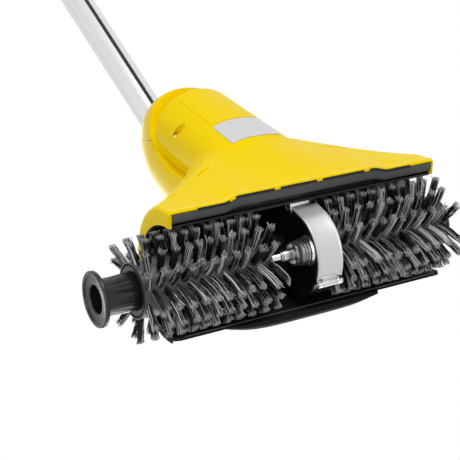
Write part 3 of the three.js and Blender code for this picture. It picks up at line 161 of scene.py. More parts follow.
# Hood and neck shells
# Two halves moulded in glossy yellow plastic about 3 mm thick, screwed together along a seam round
# the neck. The hood flares down to the brushes, the motor barrel stands on its back, and the collar
# in front of the barrel carries the tube.
HOOD_HALF = 150
HOOD_WALL = 2.8
NECK_WALL = 3
HOOD_END_ROUND = 3
LIP = (66.5, 31)
LIP_FLAT = 1.2
LIP_STEP = 4
LIP_STEP_FROM = 76
LIP_STEP_TO = 93
FRONT = (-58.6, 64)
END_REAR = (70.5, 52)
END_TOP = (4, 113.2)
FLARE_HALF = 50
FLARE_REAR = (101, 122)
FLARE_TOP = (34, 205)
RIDGE_REAR = (111, 114)
SHOULDER_HALF = 28
SHOULDER_REAR = (106, 116)
FLARE_POWER = 1.7
REAR_POWER = 1.25
NECK_PIVOT = (93.7, 163)
NECK_LEAN = math.radians(70)
BARREL_LOW = -50
BARREL_LENGTH = 138.7
BARREL_HALF = 48.5
BARREL_BACK = 41.7
BARREL_FRONT = -46
BARREL_ROUND = 4.5
BARREL_STEPS = [(0, 1.01, 0.7, 2.4), (0.09, 1.01, 0.79, 2.4), (0.36, 1, 0.87, 2.25),
                (0.68, 0.99, 0.945, 2.1), (1, 0.985, 1, 2)]
NECK_FOOT = -64
NECK_LENGTH = 225
NECK_FRONT = 112
NECK_REAR = 44
NECK_HALF = 54
NECK_POWER = 2.5
NECK_STEPS = [(0, 1, 0.45, 1), (0.253, 0.938, 0.68, 0.963), (0.462, 0.884, 0.864, 0.944),
              (0.564, 0.848, 0.955, 0.944), (0.667, 0.808, 1, 0.926), (0.751, 0.759, 0.864, 0.889),
              (0.84, 0.696, 0.614, 0.796), (0.916, 0.638, 0.318, 0.676), (0.96, 0.598, 0.068, 0.574),
              (0.987, 0.563, -0.114, 0.5), (1, 0.536, -0.227, 0.454)]
RIM_SETBACK = 28
RIM_LINE = [(-0.42, 1.5), (-0.1, 1.08), (0.13, 0.98), (0.51, 1.02), (0.63, 0.77), (0.725, 0.1),
            (0.82, -1.36), (0.9, -3)]
SEAM_LINE = [(-0.42, 1.5), (-0.1, 1.08), (0.13, 0.98), (0.51, 1.02), (0.63, 0.77), (0.7, 0.47),
             (0.78, 0.7), (0.955, 1.3), (1.3, 2.2)]
SEAM_Y = 29
SEAM_GAP = 0.7
FINE_ROUND = 120
TUBE_PIVOT = (60, 266)
TUBE_LEAN = math.radians(48.3)
TUBE_RADIUS = 17.5


def on_line(pivot, lean, x, back, along):
    """A place beside a leaning centre line: back is square to it, towards the user or the ground."""
    y = pivot[0] + math.cos(lean) * along + math.sin(lean) * back
    z = pivot[1] + math.sin(lean) * along - math.cos(lean) * back
    return at(x, y, z)


def on_neck(x, back, along):
    return on_line(NECK_PIVOT, NECK_LEAN, x, back, along)


def on_tube(x, back, along):
    return on_line(TUBE_PIVOT, TUBE_LEAN, x, back, along)


def blend_steps(steps, share):
    """Values at a share of the way through a list of steps, rounded over at each step."""
    share = min(max(share, steps[0][0]), steps[-1][0])
    k = 0
    while k + 2 < len(steps) and steps[k + 1][0] < share:
        k += 1
    low, high = steps[k], steps[k + 1]
    before = steps[max(k - 1, 0)]
    after = steps[min(k + 2, len(steps) - 1)]
    span = high[0] - low[0]
    t = (share - low[0]) / span
    values = []
    for i in range(1, len(low)):
        rise = high[i] - low[i]
        slope = rise if before is low else rise_over(before, high, i) * span
        next_slope = rise if after is high else rise_over(low, after, i) * span
        values.append(
            low[i] * (2 * t ** 3 - 3 * t ** 2 + 1)
            + slope * (t ** 3 - 2 * t ** 2 + t)
            + high[i] * (3 * t ** 2 - 2 * t ** 3)
            + next_slope * (t ** 3 - t ** 2)
        )
    return values


def rise_over(start, end, i):
    return (end[i] - start[i]) / (end[0] - start[0])


def swing(turn, power):
    c, s = math.cos(turn), math.sin(turn)
    return (
        math.copysign(abs(c) ** (2 / power), c),
        math.copysign(abs(s) ** (2 / power), s),
    )


def new_piece(name, points, faces):
    """A mesh object at the origin, its faces turned outwards."""
    bpy.ops.object.select_all(action="DESELECT")
    mesh = bpy.data.meshes.new(name)
    mesh.from_pydata([tuple(p) for p in points], [], faces)
    piece = bpy.data.objects.new(name, mesh)
    scene.collection.objects.link(piece)
    bpy.context.view_layer.objects.active = piece
    piece.select_set(True)
    bpy.ops.object.mode_set(mode="EDIT")
    bpy.ops.mesh.select_all(action="SELECT")
    bpy.ops.mesh.remove_doubles(threshold=1e-6)
    bpy.ops.mesh.normals_make_consistent(inside=False)
    bpy.ops.object.mode_set(mode="OBJECT")
    return piece


def loft(name, rings):
    size = len(rings[0])
    faces = []
    for r in range(len(rings) - 1):
        for i in range(size):
            j = (i + 1) % size
            faces.append((r * size + i, r * size + j, (r + 1) * size + j, (r + 1) * size + i))
    faces.append(tuple(range(size - 1, -1, -1)))
    faces.append(tuple((len(rings) - 1) * size + i for i in range(size)))
    return new_piece(name, [p for ring in rings for p in ring], faces)


def apply_modifier(piece, kind, **values):
    modifier = piece.modifiers.new(kind.lower(), kind)
    for key, value in values.items():
        setattr(modifier, key, value)
    bpy.context.view_layer.objects.active = piece
    bpy.ops.object.modifier_apply(modifier=modifier.name)


def combine(piece, other, operation, keep=False):
    apply_modifier(piece, "BOOLEAN", operation=operation, solver="MANIFOLD", object=other)
    if not keep:
        bpy.data.objects.remove(other)


def settle():
    """The primitive just added, with its place and turn taken into its mesh."""
    bpy.ops.object.transform_apply(location=True, rotation=True, scale=True)
    return bpy.context.object


def rod(radius, length, place, turn, sides=48):
    bpy.ops.object.select_all(action="DESELECT")
    bpy.ops.mesh.primitive_cylinder_add(
        vertices=sides, radius=radius / 1000, depth=length / 1000, location=place, rotation=turn,
    )
    return settle()


def block(size, place, turn=(0, 0, 0)):
    bpy.ops.object.select_all(action="DESELECT")
    bpy.ops.mesh.primitive_cube_add(size=1, location=place, rotation=turn)
    bpy.context.object.scale = [side / 1000 for side in size]
    return settle()


def on_roller(x, radius, angle):
    turn = math.radians(angle)
    return at(x, radius * math.cos(turn), AXIS_HEIGHT + radius * math.sin(turn))


def cross_rod(radius, angle, ring_radius, x_from, x_to, sides=48):
    """A rod parallel to the roller, at an angle round it."""
    middle = on_roller((x_from + x_to) / 2, ring_radius, angle)
    return rod(radius, x_to - x_from, middle, (0, math.pi / 2, 0), sides)


def round_edges(piece, width, segments=2, angle=40):
    apply_modifier(piece, "BEVEL", width=width / 1000, segments=segments, limit_method="ANGLE",
                   angle_limit=math.radians(angle))


def smooth_by_angle(piece, angle):
    bpy.ops.object.select_all(action="DESELECT")
    piece.select_set(True)
    bpy.context.view_layer.objects.active = piece
    bpy.ops.object.shade_smooth_by_angle(angle=math.radians(angle))


def finish_piece(piece, angle, body, slot, material, *nodes):
    """Smooth shading up to an angle, then its material, the body it rides on and what it replaces."""
    smooth_by_angle(piece, angle)
    piece.data.materials.clear()
    piece.data.materials.append(material)
    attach(piece, body)
    if nodes:
        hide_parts(*nodes)


def middle_share(x):
    """One over the middle of the lip, nothing at its ends, with a soft step between them."""
    share = min(max((LIP_STEP_TO - abs(x)) / (LIP_STEP_TO - LIP_STEP_FROM), 0), 1)
    return share ** 2 * (3 - 2 * share)


def lip_y(x):
    return LIP[0] + LIP_STEP * middle_share(x)


def flare_share(x):
    """One from the middle to where the flare starts, nothing at the hood's ends."""
    return 1 - min(max(abs(x) - FLARE_HALF, 0) / (HOOD_HALF - FLARE_HALF), 1)


def rear_edge(x):
    """Where the hood's rear face starts to fall towards the lip."""
    if abs(x) < FLARE_HALF:
        steps = [(0, *RIDGE_REAR), (SHOULDER_HALF, *SHOULDER_REAR), (FLARE_HALF, *FLARE_REAR)]
        return blend_steps(steps, abs(x))
    share = flare_share(x)
    return (END_REAR[0] + (FLARE_REAR[0] - END_REAR[0]) * share ** REAR_POWER,
            END_REAR[1] + (FLARE_REAR[1] - END_REAR[1]) * share)


def hood_ring(x, inset):
    rise = flare_share(x) ** FLARE_POWER
    top_y = END_TOP[0] + (FLARE_TOP[0] - END_TOP[0]) * rise
    top_z = END_TOP[1] + (FLARE_TOP[1] - END_TOP[1]) * rise
    rear_y, rear_z = rear_edge(x)
    end_inset = max(HOOD_END_ROUND - (HOOD_HALF - abs(x)), 0) / 2 if inset == 0 else 0
    inset += end_inset
    front_y = FRONT[0] + inset
    drop = 0 if inset == end_inset else 2 * HOOD_WALL
    ring = []
    steps = 20
    for i in range(steps + 1):
        turn = math.pi / 2 * i / steps
        y = top_y - (top_y - front_y) * math.cos(turn)
        z = FRONT[1] + (top_z - inset - FRONT[1]) * math.sin(turn)
        ring.append(at(x, y, FRONT[1] - drop if i == 0 else z))
    for i in range(1, steps + 1):
        turn = math.pi / 2 * i / steps
        y = top_y + (rear_y - inset - top_y) * math.sin(turn)
        z = rear_z + (top_z - inset - rear_z) * math.cos(turn)
        ring.append(at(x, y, z))
    steps = 12
    for i in range(1, steps + 1):
        share = i / steps
        y = rear_y + (lip_y(x) - rear_y) * share - inset
        z = rear_z + (LIP[1] - rear_z) * share
        ring.append(at(x, y, z))
    ring.append(at(x, lip_y(x) - inset - LIP_FLAT, LIP[1] - drop))
    return ring


def hood_form(name, inset):
    half = [0, 7, 14, 21, 28, 34, 40, 45, 50, 55, 60, 66, 72, 76, 80, 84, 88, 93, 99, 105, 114, 123,
            132, 140, 147]
    if inset == 0:
        half += [148.5, 150]
    places = [-x for x in reversed(half[1:])] + half
    return loft(name, [hood_ring(x, inset) for x in places])


def neck_form(name, inset):
    rings = []
    last = NECK_STEPS[-1][0]
    steps = 60
    for i in range(steps + 1):
        share = last * i / steps
        front, rear, half = blend_steps(NECK_STEPS, share)
        front = -NECK_FRONT * front + inset
        rear = NECK_REAR * rear - inset
        half = NECK_HALF * half - inset
        along = NECK_FOOT + NECK_LENGTH * share - (inset if i == steps else 0)
        ring = []
        for k in range(FINE_ROUND):
            c, s = swing(2 * math.pi * k / FINE_ROUND, NECK_POWER)
            ring.append(on_neck(half * c, (front + rear) / 2 + (rear - front) / 2 * s, along))
        rings.append(ring)
    return loft(name, rings)


def barrel_ring(share, grow, along=None):
    half, back, power = blend_steps(BARREL_STEPS, share)
    ring = []
    for k in range(FINE_ROUND):
        turn = 2 * math.pi * k / FINE_ROUND
        c, s = swing(turn, power if math.sin(turn) > 0 else 2)
        reach = BARREL_BACK * back + grow if s > 0 else -BARREL_FRONT + grow
        place = BARREL_LOW + BARREL_LENGTH * share if along is None else along
        ring.append(on_neck((BARREL_HALF * half + grow) * c, reach * s, place))
    return ring


def barrel_form(name, inset):
    top = BARREL_LOW + BARREL_LENGTH - inset
    steps = 30
    straight = (top - BARREL_ROUND - BARREL_LOW) / BARREL_LENGTH
    rings = [barrel_ring(straight * i / steps, -inset) for i in range(steps + 1)]
    for i in range(1, 7):
        turn = math.pi / 2 * i / 6
        shrink = BARREL_ROUND * (1 - math.cos(turn))
        rings.append(barrel_ring(1, -inset - shrink, top - BARREL_ROUND * (1 - math.sin(turn))))
    return loft(name, rings)


def neck_cutter(name, line, shift, thick=None):
    """A block in front of a line that is drawn on the side of the neck, or a thin sheet along it."""
    edge = [(NECK_FOOT + NECK_LENGTH * a, -RIM_SETBACK * b + shift) for a, b in line]
    far = NECK_FRONT + NECK_LENGTH
    if thick is None:
        outline = edge + [(edge[-1][0], -far), (edge[0][0], -far)]
    else:
        outline = edge + [(a, b - thick) for a, b in reversed(edge)]
    wide = 2 * HOOD_HALF
    rings = [[on_neck(x, b, a) for a, b in outline] for x in (-wide, wide)]
    return loft(name, rings)


def grained_look(name, dark, light, drift, pores, sockets):
    """A tone that drifts over the piece and, where pores are given, a fine grain in its surface."""
    look = bpy.data.materials.new(name)
    tree = shader_tree(look)
    place = add_node(tree, "TexCoord")["Object"]
    scale, detail = drift
    blotches = add_node(tree, "TexNoise", {"Scale": scale, "Detail": detail, "Vector": place})
    tone = add_node(tree, "Mix", {0: blotches[0], 6: (*dark, 1), 7: (*light, 1)}, data_type="RGBA")
    sockets = {**sockets, "Base Color": tone[2]}
    if pores:
        grain = add_node(tree, "TexNoise", {"Scale": pores[0], "Detail": 1.0, "Vector": place})
        bump = add_node(tree, "Bump",
                        {"Strength": pores[1], "Distance": pores[2], "Height": grain[0]})
        sockets["Normal"] = bump[0]
    shader = add_node(tree, "BsdfPrincipled", sockets)
    add_node(tree, "OutputMaterial", {0: shader[0]})
    return look


yellow_plastic = grained_look(
    "yellow_plastic", (0.95, 0.67, 0.0), (0.98, 0.715, 0.0), (14.0, 2.0), (2200.0, 0.05, 0.0002),
    {"Roughness": 0.36, "IOR": 1.46, "Specular IOR Level": 0.09, "Specular Tint": (1, 0.86, 0.12, 1)},
)
shell = hood_form("hood_rear", 0)
combine(shell, barrel_form("barrel", 0), "UNION")
front_wrap = neck_form("wrap", 0)
combine(front_wrap, neck_cutter("rim_cut", RIM_LINE, 0), "INTERSECT")
combine(shell, front_wrap, "UNION")
VOXEL = 1.5
apply_modifier(shell, "REMESH", mode="VOXEL", voxel_size=VOXEL / 1000, use_smooth_shade=True)
apply_modifier(shell, "SMOOTH", factor=0.5, iterations=8)
inner = hood_form("inner", HOOD_WALL)
combine(inner, barrel_form("inner_barrel", NECK_WALL), "UNION")
inner_wrap = neck_form("inner_wrap", NECK_WALL)
combine(inner_wrap, neck_cutter("rim_inner", RIM_LINE, -NECK_WALL), "INTERSECT")
combine(inner, inner_wrap, "UNION")
combine(shell, inner, "DIFFERENCE")
BRUSH_CUT = 53.6
BRUSH_CUT_HALF = 160
BRUSH_CUT_SIDES = 160
TUBE_PLAY = 0.4
TUBE_HOLE_FROM = 48
TUBE_HOLE_TO = 168
BLOCK_SIZE = (800, SEAM_Y + 200, 240)
BLOCK_HEIGHT = 120
brush_cut = cross_rod(BRUSH_CUT, 0, 0, -BRUSH_CUT_HALF, BRUSH_CUT_HALF, BRUSH_CUT_SIDES)
combine(shell, brush_cut, "DIFFERENCE")
tube_hole = rod(TUBE_RADIUS + TUBE_PLAY, TUBE_HOLE_TO - TUBE_HOLE_FROM,
                on_tube(0, 0, (TUBE_HOLE_FROM + TUBE_HOLE_TO) / 2), (TUBE_LEAN - math.pi / 2, 0, 0), 96)
combine(shell, tube_hole, "DIFFERENCE")


def seam_region(name, gap):
    """All that lies in front of the seam, or in front of it and its gap."""
    region = neck_cutter(name, SEAM_LINE, gap)
    front = block(BLOCK_SIZE, at(0, (SEAM_Y - 200) / 2 + gap, BLOCK_HEIGHT))
    combine(region, front, "UNION")
    return region


front_region = seam_region("front_region", 0)
bpy.ops.object.select_all(action="DESELECT")
front_shell = shell.copy()
front_shell.data = shell.data.copy()
front_shell.name = "hood_front"
scene.collection.objects.link(front_shell)
combine(front_shell, front_region, "INTERSECT")
combine(shell, seam_region("rear_region", SEAM_GAP), "DIFFERENCE")
finish_piece(shell, 40, "head", "yellow_plastic", yellow_plastic, "hood_rear_shell")
finish_piece(front_shell, 40, "head", "yellow_plastic", yellow_plastic, "hood_front_shell")

# Rating plate
# A bare foil plate stuck on the back of the barrel. It follows the barrel's curve, has small
# rounded corners, and nothing is on it.
PLATE_HALF = 28
PLATE_LOW = -38
PLATE_TOP = 2
PLATE_THICK = 0.9
PLATE_CORNER = 1.5


def on_barrel(x, along, lift):
    half, back, power = blend_steps(BARREL_STEPS, (along - BARREL_LOW) / BARREL_LENGTH)
    reach = BARREL_BACK * back * (1 - (abs(x) / (BARREL_HALF * half)) ** power) ** (1 / power)
    return on_neck(x, reach + lift, along)


def barrel_patch(name, half_width, low, top, corner, low_lift, high_lift):
    """A sheet laid round the barrel's back, with rounded corners."""
    rows, columns = 24, 32
    points = []
    for r in range(rows + 1):
        v = r / rows
        along = low + (top - low) * v
        edge = min(v, 1 - v) * (top - low)
        pull = corner - math.sqrt(max(corner ** 2 - max(corner - edge, 0) ** 2, 0))
        for c in range(columns + 1):
            x = (half_width - pull) * (2 * c / columns - 1)
            points.append(on_barrel(x, along, high_lift))
    faces = []
    for r in range(rows):
        for c in range(columns):
            a = r * (columns + 1) + c
            faces.append((a, a + 1, a + columns + 2, a + columns + 1))
    sheet = new_piece(name, points, faces)
    outward = on_neck(0, 100, 0) - on_neck(0, 0, 0)
    if sum((f.normal.dot(outward) for f in sheet.data.polygons)) < 0:
        sheet.data.flip_normals()
    apply_modifier(sheet, "SOLIDIFY", thickness=(high_lift - low_lift) / 1000, offset=-1)
    return sheet


plate_foil = grained_look("plate_foil", (0.62, 0.63, 0.65), (0.7, 0.71, 0.73), (90.0, 3.0), None,
                          {"Roughness": 0.3})
plate = barrel_patch("bare_plate", PLATE_HALF, PLATE_LOW, PLATE_TOP, PLATE_CORNER, 0.1, PLATE_THICK)
finish_piece(plate, 40, "head", "plate_foil", plate_foil, "rating_plate")

# Raised pad on the barrel
# A thin raised field moulded on the barrel above the plate, left bare. Its edge catches a line of
# light down the side.
PAD_HALF = 26.5
PAD_LOW = 4
PAD_TOP = 80
PAD_RISE = 0.7
pad = barrel_patch("barrel_pad", PAD_HALF, PAD_LOW, PAD_TOP, 3, -1, PAD_RISE)
finish_piece(pad, 40, "head", "yellow_plastic", yellow_plastic)

# Screw wells
# Two wells moulded into the flanks of the barrel, nearly square to the tube, each with a steel
# screw at its floor that pulls the rear shell onto the front one.
WELL_PLACE = (43, 123.2, 199)
WELL_RADIUS = 4.4
WELL_WALL = 1.6
WELL_DEPTH = 10
SCREW_RADIUS = 2.9
SCREW_SOCKET = 1.4
WELL_LEAN = math.radians(-51)
WELL_AXIS = Vector((0, math.cos(WELL_LEAN), math.sin(WELL_LEAN)))


def well_rod(side, radius, low, high, sides=48):
    """A cylinder on a well's axis, from one depth to another."""
    middle = at(side * WELL_PLACE[0], *WELL_PLACE[1:]) + WELL_AXIS * ((low + high) / 2000)
    return rod(radius, high - low, middle, WELL_AXIS.to_track_quat("Z", "Y").to_euler(), sides)


def plastic_look(name, dark, light, rough, gloss, grain=1600.0, strength=0.08):
    return grained_look(name, dark, light, (25.0, 3.0), (grain, strength, 0.0003),
                        {"Roughness": rough, "Specular IOR Level": gloss})


def metal_look(name, dark, light, rough, stretch=(1, 1, 1), strength=0.1, scale=400.0, lean=0, metal=1):
    """Bare metal with the fine lines that its last tool left, along one direction."""
    look = bpy.data.materials.new(name)
    tree = shader_tree(look)
    place = add_node(tree, "TexCoord")["Object"]
    along = add_node(
        tree, "Mapping",
        {"Scale": [1 / share for share in stretch], "Rotation": (lean, 0, 0), "Vector": place},
        vector_type="TEXTURE",
    )
    lines = add_node(tree, "TexNoise", {"Scale": scale, "Detail": 3.0, "Vector": along[0]})
    tone = add_node(tree, "Mix", {0: lines[0], 6: (*dark, 1), 7: (*light, 1)}, data_type="RGBA")
    rub = add_node(tree, "MapRange", {0: lines[0], "To Min": rough * 0.8, "To Max": rough * 1.25})
    bump = add_node(tree, "Bump", {"Strength": strength, "Distance": 0.0002, "Height": lines[0]})
    shader = add_node(
        tree, "BsdfPrincipled",
        {"Metallic": metal, "Roughness": rub[0], "Base Color": tone[2], "Normal": bump[0]},
    )
    add_node(tree, "OutputMaterial", {0: shader[0]})
    return look


steel = metal_look("steel", (0.6, 0.61, 0.63), (0.78, 0.79, 0.8), 0.28)
for side in (1, -1):
    boss = well_rod(side, WELL_RADIUS + WELL_WALL, -WELL_DEPTH - WELL_WALL, 14)
    combine(boss, barrel_form("boss_trim", 0.8), "INTERSECT")
    combine(shell, boss, "UNION")
    combine(shell, well_rod(side, WELL_RADIUS, -WELL_DEPTH, 40), "DIFFERENCE")
    screw = well_rod(side, SCREW_RADIUS, -WELL_DEPTH - 0.5, -WELL_DEPTH + 2)
    screw.name = "shell_screw_left" if side > 0 else "shell_screw_right"
    combine(screw, well_rod(side, SCREW_SOCKET, -WELL_DEPTH + 1, -WELL_DEPTH + 3, 6), "DIFFERENCE")
    round_edges(screw, 0.3, angle=30)
    finish_piece(screw, 40, "head", "steel", steel)

# Slots in the shells
# Narrow lens-shaped slots take a tool that parts the shells: one in the rim above the barrel, one
# on the ledge at its foot and one low on the hood, on both sides.
SLOTS = (
    ((37.2, 146.1, 258.9), (24.5, 154, 260), 1.5),
    ((87, 85.9, 90.4), (67, 91, 99.4), 2),
    ((129.3, 74.1, 69.8), (120.9, 76.4, 69.2), 1.5),
)
for side in (1, -1):
    for start, end, radius in SLOTS:
        start, end = [at(side * x, y, z) for x, y, z in (start, end)]
        bpy.ops.object.select_all(action="DESELECT")
        bpy.ops.mesh.primitive_uv_sphere_add(
            segments=32, ring_count=16, radius=radius / 1000, location=(start + end) / 2,
            rotation=(end - start).to_track_quat("Z", "Y").to_euler(),
            scale=(1, 1, (end - start).length / 2 / (radius / 1000)),
        )
        slot_cut = settle()
        combine(shell, slot_cut, "DIFFERENCE", keep=True)
        combine(front_shell, slot_cut, "DIFFERENCE")
smooth_by_angle(front_shell, 40)
smooth_by_angle(shell, 40)

# Brush tunnel
# The black inner moulding that the brushes run in, with a slot for the gear case. At each end a
# thin curved lining carries it on to the edge of the hood.
TUNNEL_INNER = 52.4
TUNNEL_WALL = 2.4
TUNNEL_REAR = -17
TUNNEL_FRONT = 148
TUNNEL_HALF = 146.4
CASE_LEAN = math.radians(47.4)
CASE_SLOT = (11.8, 17.3, 0, 120)
LINING_FROM = 20
LINING_TO = 186
LINING_REACH = 149.6
LINING_LINE = [(i, 53.4) for i in range(33)] + [(i, 52.6) for i in range(32, -1, -1)]


def tunnel_ring(x):
    steps = 48
    turns = [TUNNEL_REAR + (TUNNEL_FRONT - TUNNEL_REAR) * i / steps for i in range(steps + 1)]
    ring = [on_roller(x, TUNNEL_INNER + TUNNEL_WALL, turn) for turn in turns]
    return ring + [on_roller(x, TUNNEL_INNER, turn) for turn in reversed(turns)]


def leaning_block(half_x, half_across, low, high):
    """A block in line with the gear case's neck, from one reach to another."""
    along = (math.cos(CASE_LEAN), math.sin(CASE_LEAN))
    corners = []
    for x in (-half_x, half_x):
        for reach, side in ((low, 1), (high, 1), (high, -1), (low, -1)):
            y = along[0] * reach + along[1] * side * half_across
            z = AXIS_HEIGHT + along[1] * reach - along[0] * side * half_across
            corners.append(at(x, y, z))
    faces = [(3, 2, 1, 0), (4, 5, 6, 7), (0, 1, 5, 4), (1, 2, 6, 5), (2, 3, 7, 6), (3, 0, 4, 7)]
    return new_piece("block", corners, faces)


tunnel = loft("brush_tunnel_moulding", [tunnel_ring(x) for x in (-TUNNEL_HALF, 0, TUNNEL_HALF)])
combine(tunnel, leaning_block(*CASE_SLOT), "DIFFERENCE")
round_edges(tunnel, 0.5)
black_plastic = plastic_look("black_plastic", (0.006, 0.006, 0.007), (0.010, 0.010, 0.011), 0.3, 0.3)
finish_piece(tunnel, 35, "head", "black_plastic", black_plastic, "brush_tunnel")

for side_name, side in (("left", 1), ("right", -1)):
    lining = loft(f"{side_name}_tunnel_lining", [
        [on_roller(side * x, radius, LINING_FROM + (LINING_TO - LINING_FROM) * i / 32)
         for i, radius in LINING_LINE]
        for x in (TUNNEL_HALF - 2, LINING_REACH)
    ])
    finish_piece(lining, 35, "head", "black_plastic", black_plastic)

# Rear skirt
# A dark grey strip closes the gap between the tunnel and the hood's lip. It follows the lip's step,
# and small yellow tabs of the lip cross the gap to hold it; a black strip in the gap is painted shade.
# A bead stiffens the lip.
SKIRT_END_Y = 54.8
SKIRT_MIDDLE_Y = 58.2
SKIRT_SHELF = 1.6
SKIRT_GAP = 3.2
SKIRT_LOW = 31.4
SKIRT_SLOPE = 0.42
SKIRT_DEPTH = 3.4
TAB_PLACES = (83, 34.5, -13, -68)
TAB_HALF = 3.2
TAB_SECTION = (0.8, 3.4, 30.6, 34)
GAP_SHADE_HALF = 120
GAP_SHADE_SECTION = (1.4, 4, 30.9, 33)
BEAD_RADIUS = 0.8
BEAD_UP = 2.8
BEAD_INSET = 0.45


def lip_stations(half, step=4):
    count = round(2 * half / step)
    return [-half + 2 * half * i / count for i in range(count + 1)]


def skirt_edges(x):
    outer_y = lip_y(x) - SKIRT_GAP
    inner_y = SKIRT_END_Y + (SKIRT_MIDDLE_Y - SKIRT_END_Y) * middle_share(x)
    return outer_y, inner_y, SKIRT_LOW + SKIRT_SLOPE * (outer_y - inner_y)


def skirt_ring(x):
    outer_y, inner_y, inner_z = skirt_edges(x)
    return [
        at(x, inner_y, inner_z), at(x, outer_y, SKIRT_LOW), at(x, outer_y, SKIRT_LOW + SKIRT_DEPTH),
        at(x, inner_y, inner_z + SKIRT_SHELF),
    ]


def web_ring(x):
    outer_y, inner_y, inner_z = skirt_edges(x)
    foot = inner_z + SKIRT_SHELF + 0.1
    return [
        at(x, inner_y + 0.2, foot), at(x, outer_y, foot + SKIRT_DEPTH),
        on_roller(x, TUNNEL_INNER + TUNNEL_WALL, TUNNEL_REAR + 6),
        on_roller(x, TUNNEL_INNER, TUNNEL_REAR + 4),
    ]


def lip_strip(name, x_from, x_to, near, far, low, high, bevel):
    """A strip that follows the lip, from one distance inside it to another."""
    count = max(round((x_to - x_from) / 4), 1)
    stations = [x_from + (x_to - x_from) * i / count for i in range(count + 1)]
    strip = loft(name, [[at(x, lip_y(x) - near, low), at(x, lip_y(x) - far, low),
                         at(x, lip_y(x) - far, high), at(x, lip_y(x) - near, high)] for x in stations])
    round_edges(strip, bevel)
    return strip


skirt = loft("rear_skirt", [skirt_ring(x) for x in lip_stations(TUNNEL_HALF)])
round_edges(skirt, 0.5)
skirt_plastic = plastic_look("grey_plastic", (0.078, 0.08, 0.083), (0.095, 0.097, 0.1), 0.5, 0.3)
finish_piece(skirt, 35, "head", "grey_plastic", skirt_plastic)
web = loft("skirt_web", [web_ring(x) for x in lip_stations(TUNNEL_HALF)])
finish_piece(web, 35, "head", "black_plastic", black_plastic)
# The black strip is painted shade, darkening the gap behind the lip where shade falls.
gap_shade = lip_strip("skirt_gap_shade", -GAP_SHADE_HALF, GAP_SHADE_HALF, *GAP_SHADE_SECTION, 0.1)
finish_piece(gap_shade, 35, "head", "black_plastic", black_plastic)
for k, x in enumerate(TAB_PLACES):
    tab = lip_strip(f"lip_tab_{k + 1}", x - TAB_HALF, x + TAB_HALF, *TAB_SECTION, 0.3)
    finish_piece(tab, 35, "head", "yellow_plastic", yellow_plastic)


bead_rings = []
for x in lip_stations(HOOD_HALF - 1.6, 3):
    rear_y, rear_z = rear_edge(x)
    rise = math.atan2(rear_z - LIP[1], rear_y - lip_y(x))
    turns = [2 * math.pi * k / 12 for k in range(12)]
    bead_rings.append([
        at(x, lip_y(x) - BEAD_INSET + BEAD_UP * math.cos(rise) + BEAD_RADIUS * math.cos(turn),
           LIP[1] + BEAD_UP * math.sin(rise) + BEAD_RADIUS * math.sin(turn))
        for turn in turns
    ])
bead = loft("lip_bead", bead_rings)
bead_plastic = plastic_look("bead_plastic", (0.95, 0.67, 0.02), (0.98, 0.72, 0.04), 0.2, 0.9)
finish_piece(bead, 50, "head", "yellow_plastic", bead_plastic)

# Gear case
# A black die-cast case between the brushes: a flat disc with a dished face on the drawn-out side,
# a neck that rises into the hood, and two steel lugs at the front for the band's hinge.
CASE_RADIUS = 41.6
CASE_HALF = 12.8
CASE_RIM = 3.4
DISH_FLOOR = -4
DISH_FLOOR_RADIUS = 17
CASE_BORE = 6.6
CASE_NECK_HALF = 11.5
CASE_NECK_DEPTH = 17
CASE_NECK_LENGTH = 112
CASE_HEAD = (-46, -22)
CASE_HEAD_DEPTH = 32
MOTOR_BACK = -8
MOTOR_BORE = 4.35
HINGE_ANGLE = -128
HINGE_RADIUS = 45.2
HINGE_ROLL = 3
HINGE_BORE = 1.85
LUG_INNER = 8.3
KNUCKLE_HALF = 7.9


def turned(name, profile, steps=96, bevel=0.4):
    """Turned about the roller axis from (radius, reach) pairs that close on themselves."""
    bpy.ops.object.select_all(action="DESELECT")
    bpy.ops.mesh.primitive_circle_add(vertices=len(profile), radius=0.01, fill_type="NOTHING")
    piece = bpy.context.object
    piece.name = name
    for point, (radius, reach) in zip(piece.data.vertices, profile):
        point.co = at(reach, 0, AXIS_HEIGHT + radius) - piece.location
    bpy.ops.object.mode_set(mode="EDIT")
    bpy.ops.mesh.select_all(action="SELECT")
    bpy.ops.mesh.spin(steps=steps, angle=2 * math.pi, center=at(0, 0, AXIS_HEIGHT), axis=(1, 0, 0))
    bpy.ops.mesh.select_all(action="SELECT")
    bpy.ops.mesh.remove_doubles(threshold=1e-6)
    bpy.ops.mesh.dissolve_degenerate(threshold=1e-6)
    bpy.ops.mesh.normals_make_consistent(inside=False)
    bpy.ops.object.mode_set(mode="OBJECT")
    if bevel:
        round_edges(piece, bevel, angle=28)
    return piece


case_profile = [
    (CASE_BORE, -CASE_HALF), (CASE_RADIUS, -CASE_HALF), (CASE_RADIUS, CASE_HALF),
    (CASE_RADIUS - CASE_RIM, CASE_HALF), (CASE_RADIUS - CASE_RIM - 1.2, CASE_HALF - 2.2),
    (31, 4.2), (30.2, 3.2), (24, 0.2), (23.2, -0.8), (DISH_FLOOR_RADIUS, DISH_FLOOR),
    (CASE_BORE, DISH_FLOOR),
]
case = turned("gear_case_casting", case_profile, 96, 0)
smooth_by_angle(case, 35)
combine(case, leaning_block(CASE_NECK_HALF, CASE_NECK_DEPTH, 36, CASE_NECK_LENGTH), "UNION")
neck_turn = (NECK_LEAN - math.pi / 2, 0, 0)
case_head = block((2 * CASE_NECK_HALF, CASE_HEAD_DEPTH, CASE_HEAD[1] - CASE_HEAD[0]),
                  on_neck(0, MOTOR_BACK, sum(CASE_HEAD) / 2), neck_turn)
combine(case, case_head, "UNION")
combine(case, rod(MOTOR_BORE, 36, on_neck(0, MOTOR_BACK, -18), neck_turn), "DIFFERENCE")
round_edges(case, 0.5, 3, 38)
finish_piece(case, 35, "head", "black_plastic", black_plastic, "gear_case")


def hinge_rod(radius, x_from, x_to, inwards=0):
    return cross_rod(radius, HINGE_ANGLE, HINGE_RADIUS - inwards, x_from, x_to)


